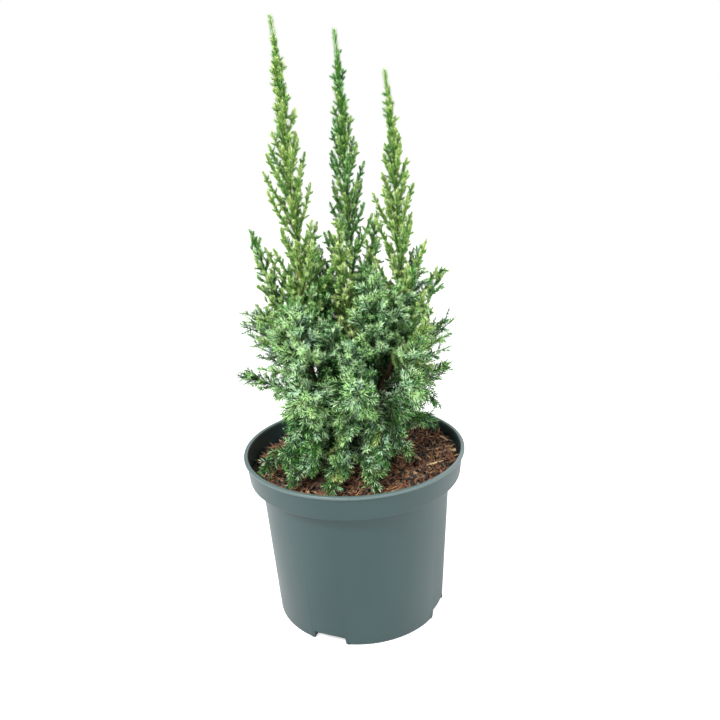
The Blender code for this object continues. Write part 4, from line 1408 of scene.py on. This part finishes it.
def needle_mesh(rows):
    """Points, corners and slots of needles from their rows."""
    rows = np.array(rows)
    foot, ahead, upper = rows[:, 0:3], rows[:, 3:6], rows[:, 6:9]
    size, width, tone = rows[:, 9:10], rows[:, 10:11], rows[:, 11].astype(int)
    wing = np.cross(upper, ahead)
    points = np.stack(
        (
            foot,
            foot + ahead * size * 0.34 + wing * width / 2 + upper * NEEDLE_THICK,
            foot + ahead * size * 0.34 - wing * width / 2 + upper * NEEDLE_THICK,
            foot + ahead * size + upper * size * 0.04,
        ),
        axis=1,
    ).reshape(-1, 3)
    corners = (CORNERS[None] + 4 * np.arange(len(rows))[:, None, None]).reshape(-1, 3)
    slots = (2 * tone[:, None] + UPPER[None]).reshape(-1)
    return points, corners, slots


# %% [markdown]
# ## The greens
# Each tone is two plain finishes, one for the needle's back and one for the waxy band on its upper side.
# The colours are plain because they have a place: they are dealt out spray by spray above. Only the gloss
# and the fine relief come from nodes.

# %% Finishes of the needles
GREENS = {
    "tip": (rgb(152, 180, 88), rgb(212, 226, 156)),
    "lime": (rgb(98, 148, 60), rgb(180, 210, 132)),
    "fresh": (rgb(80, 130, 50), rgb(166, 198, 118)),
    "grass": (rgb(64, 126, 42), rgb(176, 216, 138)),
    "leaf": (rgb(42, 108, 36), rgb(160, 208, 132)),
    "mint": (rgb(82, 144, 66), rgb(190, 220, 172)),
    "sea": (rgb(22, 78, 36), rgb(136, 184, 136)),
    "blue": (rgb(18, 66, 40), rgb(156, 194, 168)),
    # deep is dealt mostly to sprays inside the crown and under it as painted shade, and at random to single darker
    # needles.
    "deep": (rgb(14, 46, 17), rgb(40, 90, 40)),
    "yellow": (rgb(132, 156, 66), rgb(176, 192, 108)),
}


def needle_finish(name, colour, roughness):
    made = bpy.data.materials.new(name)
    made.use_nodes = True
    tree = made.node_tree
    shader = tree.nodes["Principled BSDF"]
    shader.inputs["Base Color"].default_value = colour
    shader.inputs["Specular IOR Level"].default_value = 0.40
    bumps = placed(tree, RELIEF, Scale=2500.0, Strength=0.15, Depth=0.0001)
    tree.links.new(spread_roughness(tree, bumps.outputs["Height"], *roughness), shader.inputs["Roughness"])
    tree.links.new(bumps.outputs["Normal"], shader.inputs["Normal"])
    return made


NEEDLE_FINISHES = []
for tone_name in TONES:
    back, band = GREENS[tone_name]
    NEEDLE_FINISHES += [
        needle_finish(f"{tone_name} needle", back, (0.26, 0.38)),
        needle_finish(f"{tone_name} needle band", band, (0.34, 0.50)),
    ]
print(len(NEEDLE_FINISHES), "needle finishes")


# %% Twigs as arrays
def twig_tube(grown):
    """A thin three-sided tube inside the needles of one shoot."""
    path, steps = grown["path"], 1 + int(grown["length"] / 0.008)
    side = side_of(path)
    points = []
    for k in range(steps + 1):
        t = k / steps
        axis, centre = direction(path, t), path(t)
        radius = grown["radius"] * (1 - 0.75 * t)
        points += [tuple(centre + across(axis, math.tau * j / 3, side) * radius) for j in range(3)]
    corners = []
    for k in range(steps):
        for j in range(3):
            a, b = 3 * k + j, 3 * k + (j + 1) % 3
            corners += [(a, b, a + 3), (b, b + 3, a + 3)]
    last = 3 * steps
    corners += [(0, 2, 1), (last, last + 1, last + 2)]
    return np.array(points), np.array(corners)


# %% Join needles and twigs by region
TWIG = finish("young twig", rgb(62, 84, 36), rgb(70, 62, 34), 200, (0.6, 0.8), (900, 0.3, 0.0003))


def nodes_of(region):
    return [region] if region.startswith("spire") else [f"foliage_{name}" for name in REGIONS[region]]


def dress_region(region, shoots):
    rng = random.Random(f"{SEED}-needles_{region}")
    rows = [row for grown in shoots for row in needles_on(grown, rng)]
    name = region if region.startswith("spire") else f"crown_{region}"
    points, corners, slots = needle_mesh(rows)
    mesh = mesh_from_arrays(f"{name}_needles", points, corners, slots)
    add_piece(mesh.name, mesh, NEEDLE_FINISHES, nodes_of(region))
    twigs = mesh_from_arrays(f"{name}_twigs", *joined([twig_tube(grown) for grown in shoots]), smooth=True)
    add_piece(twigs.name, twigs, [TWIG])
    return len(rows)


needle_count = sum(dress_region(region, shoots) for region, shoots in SHOOTS.items())
print(needle_count, "needles")
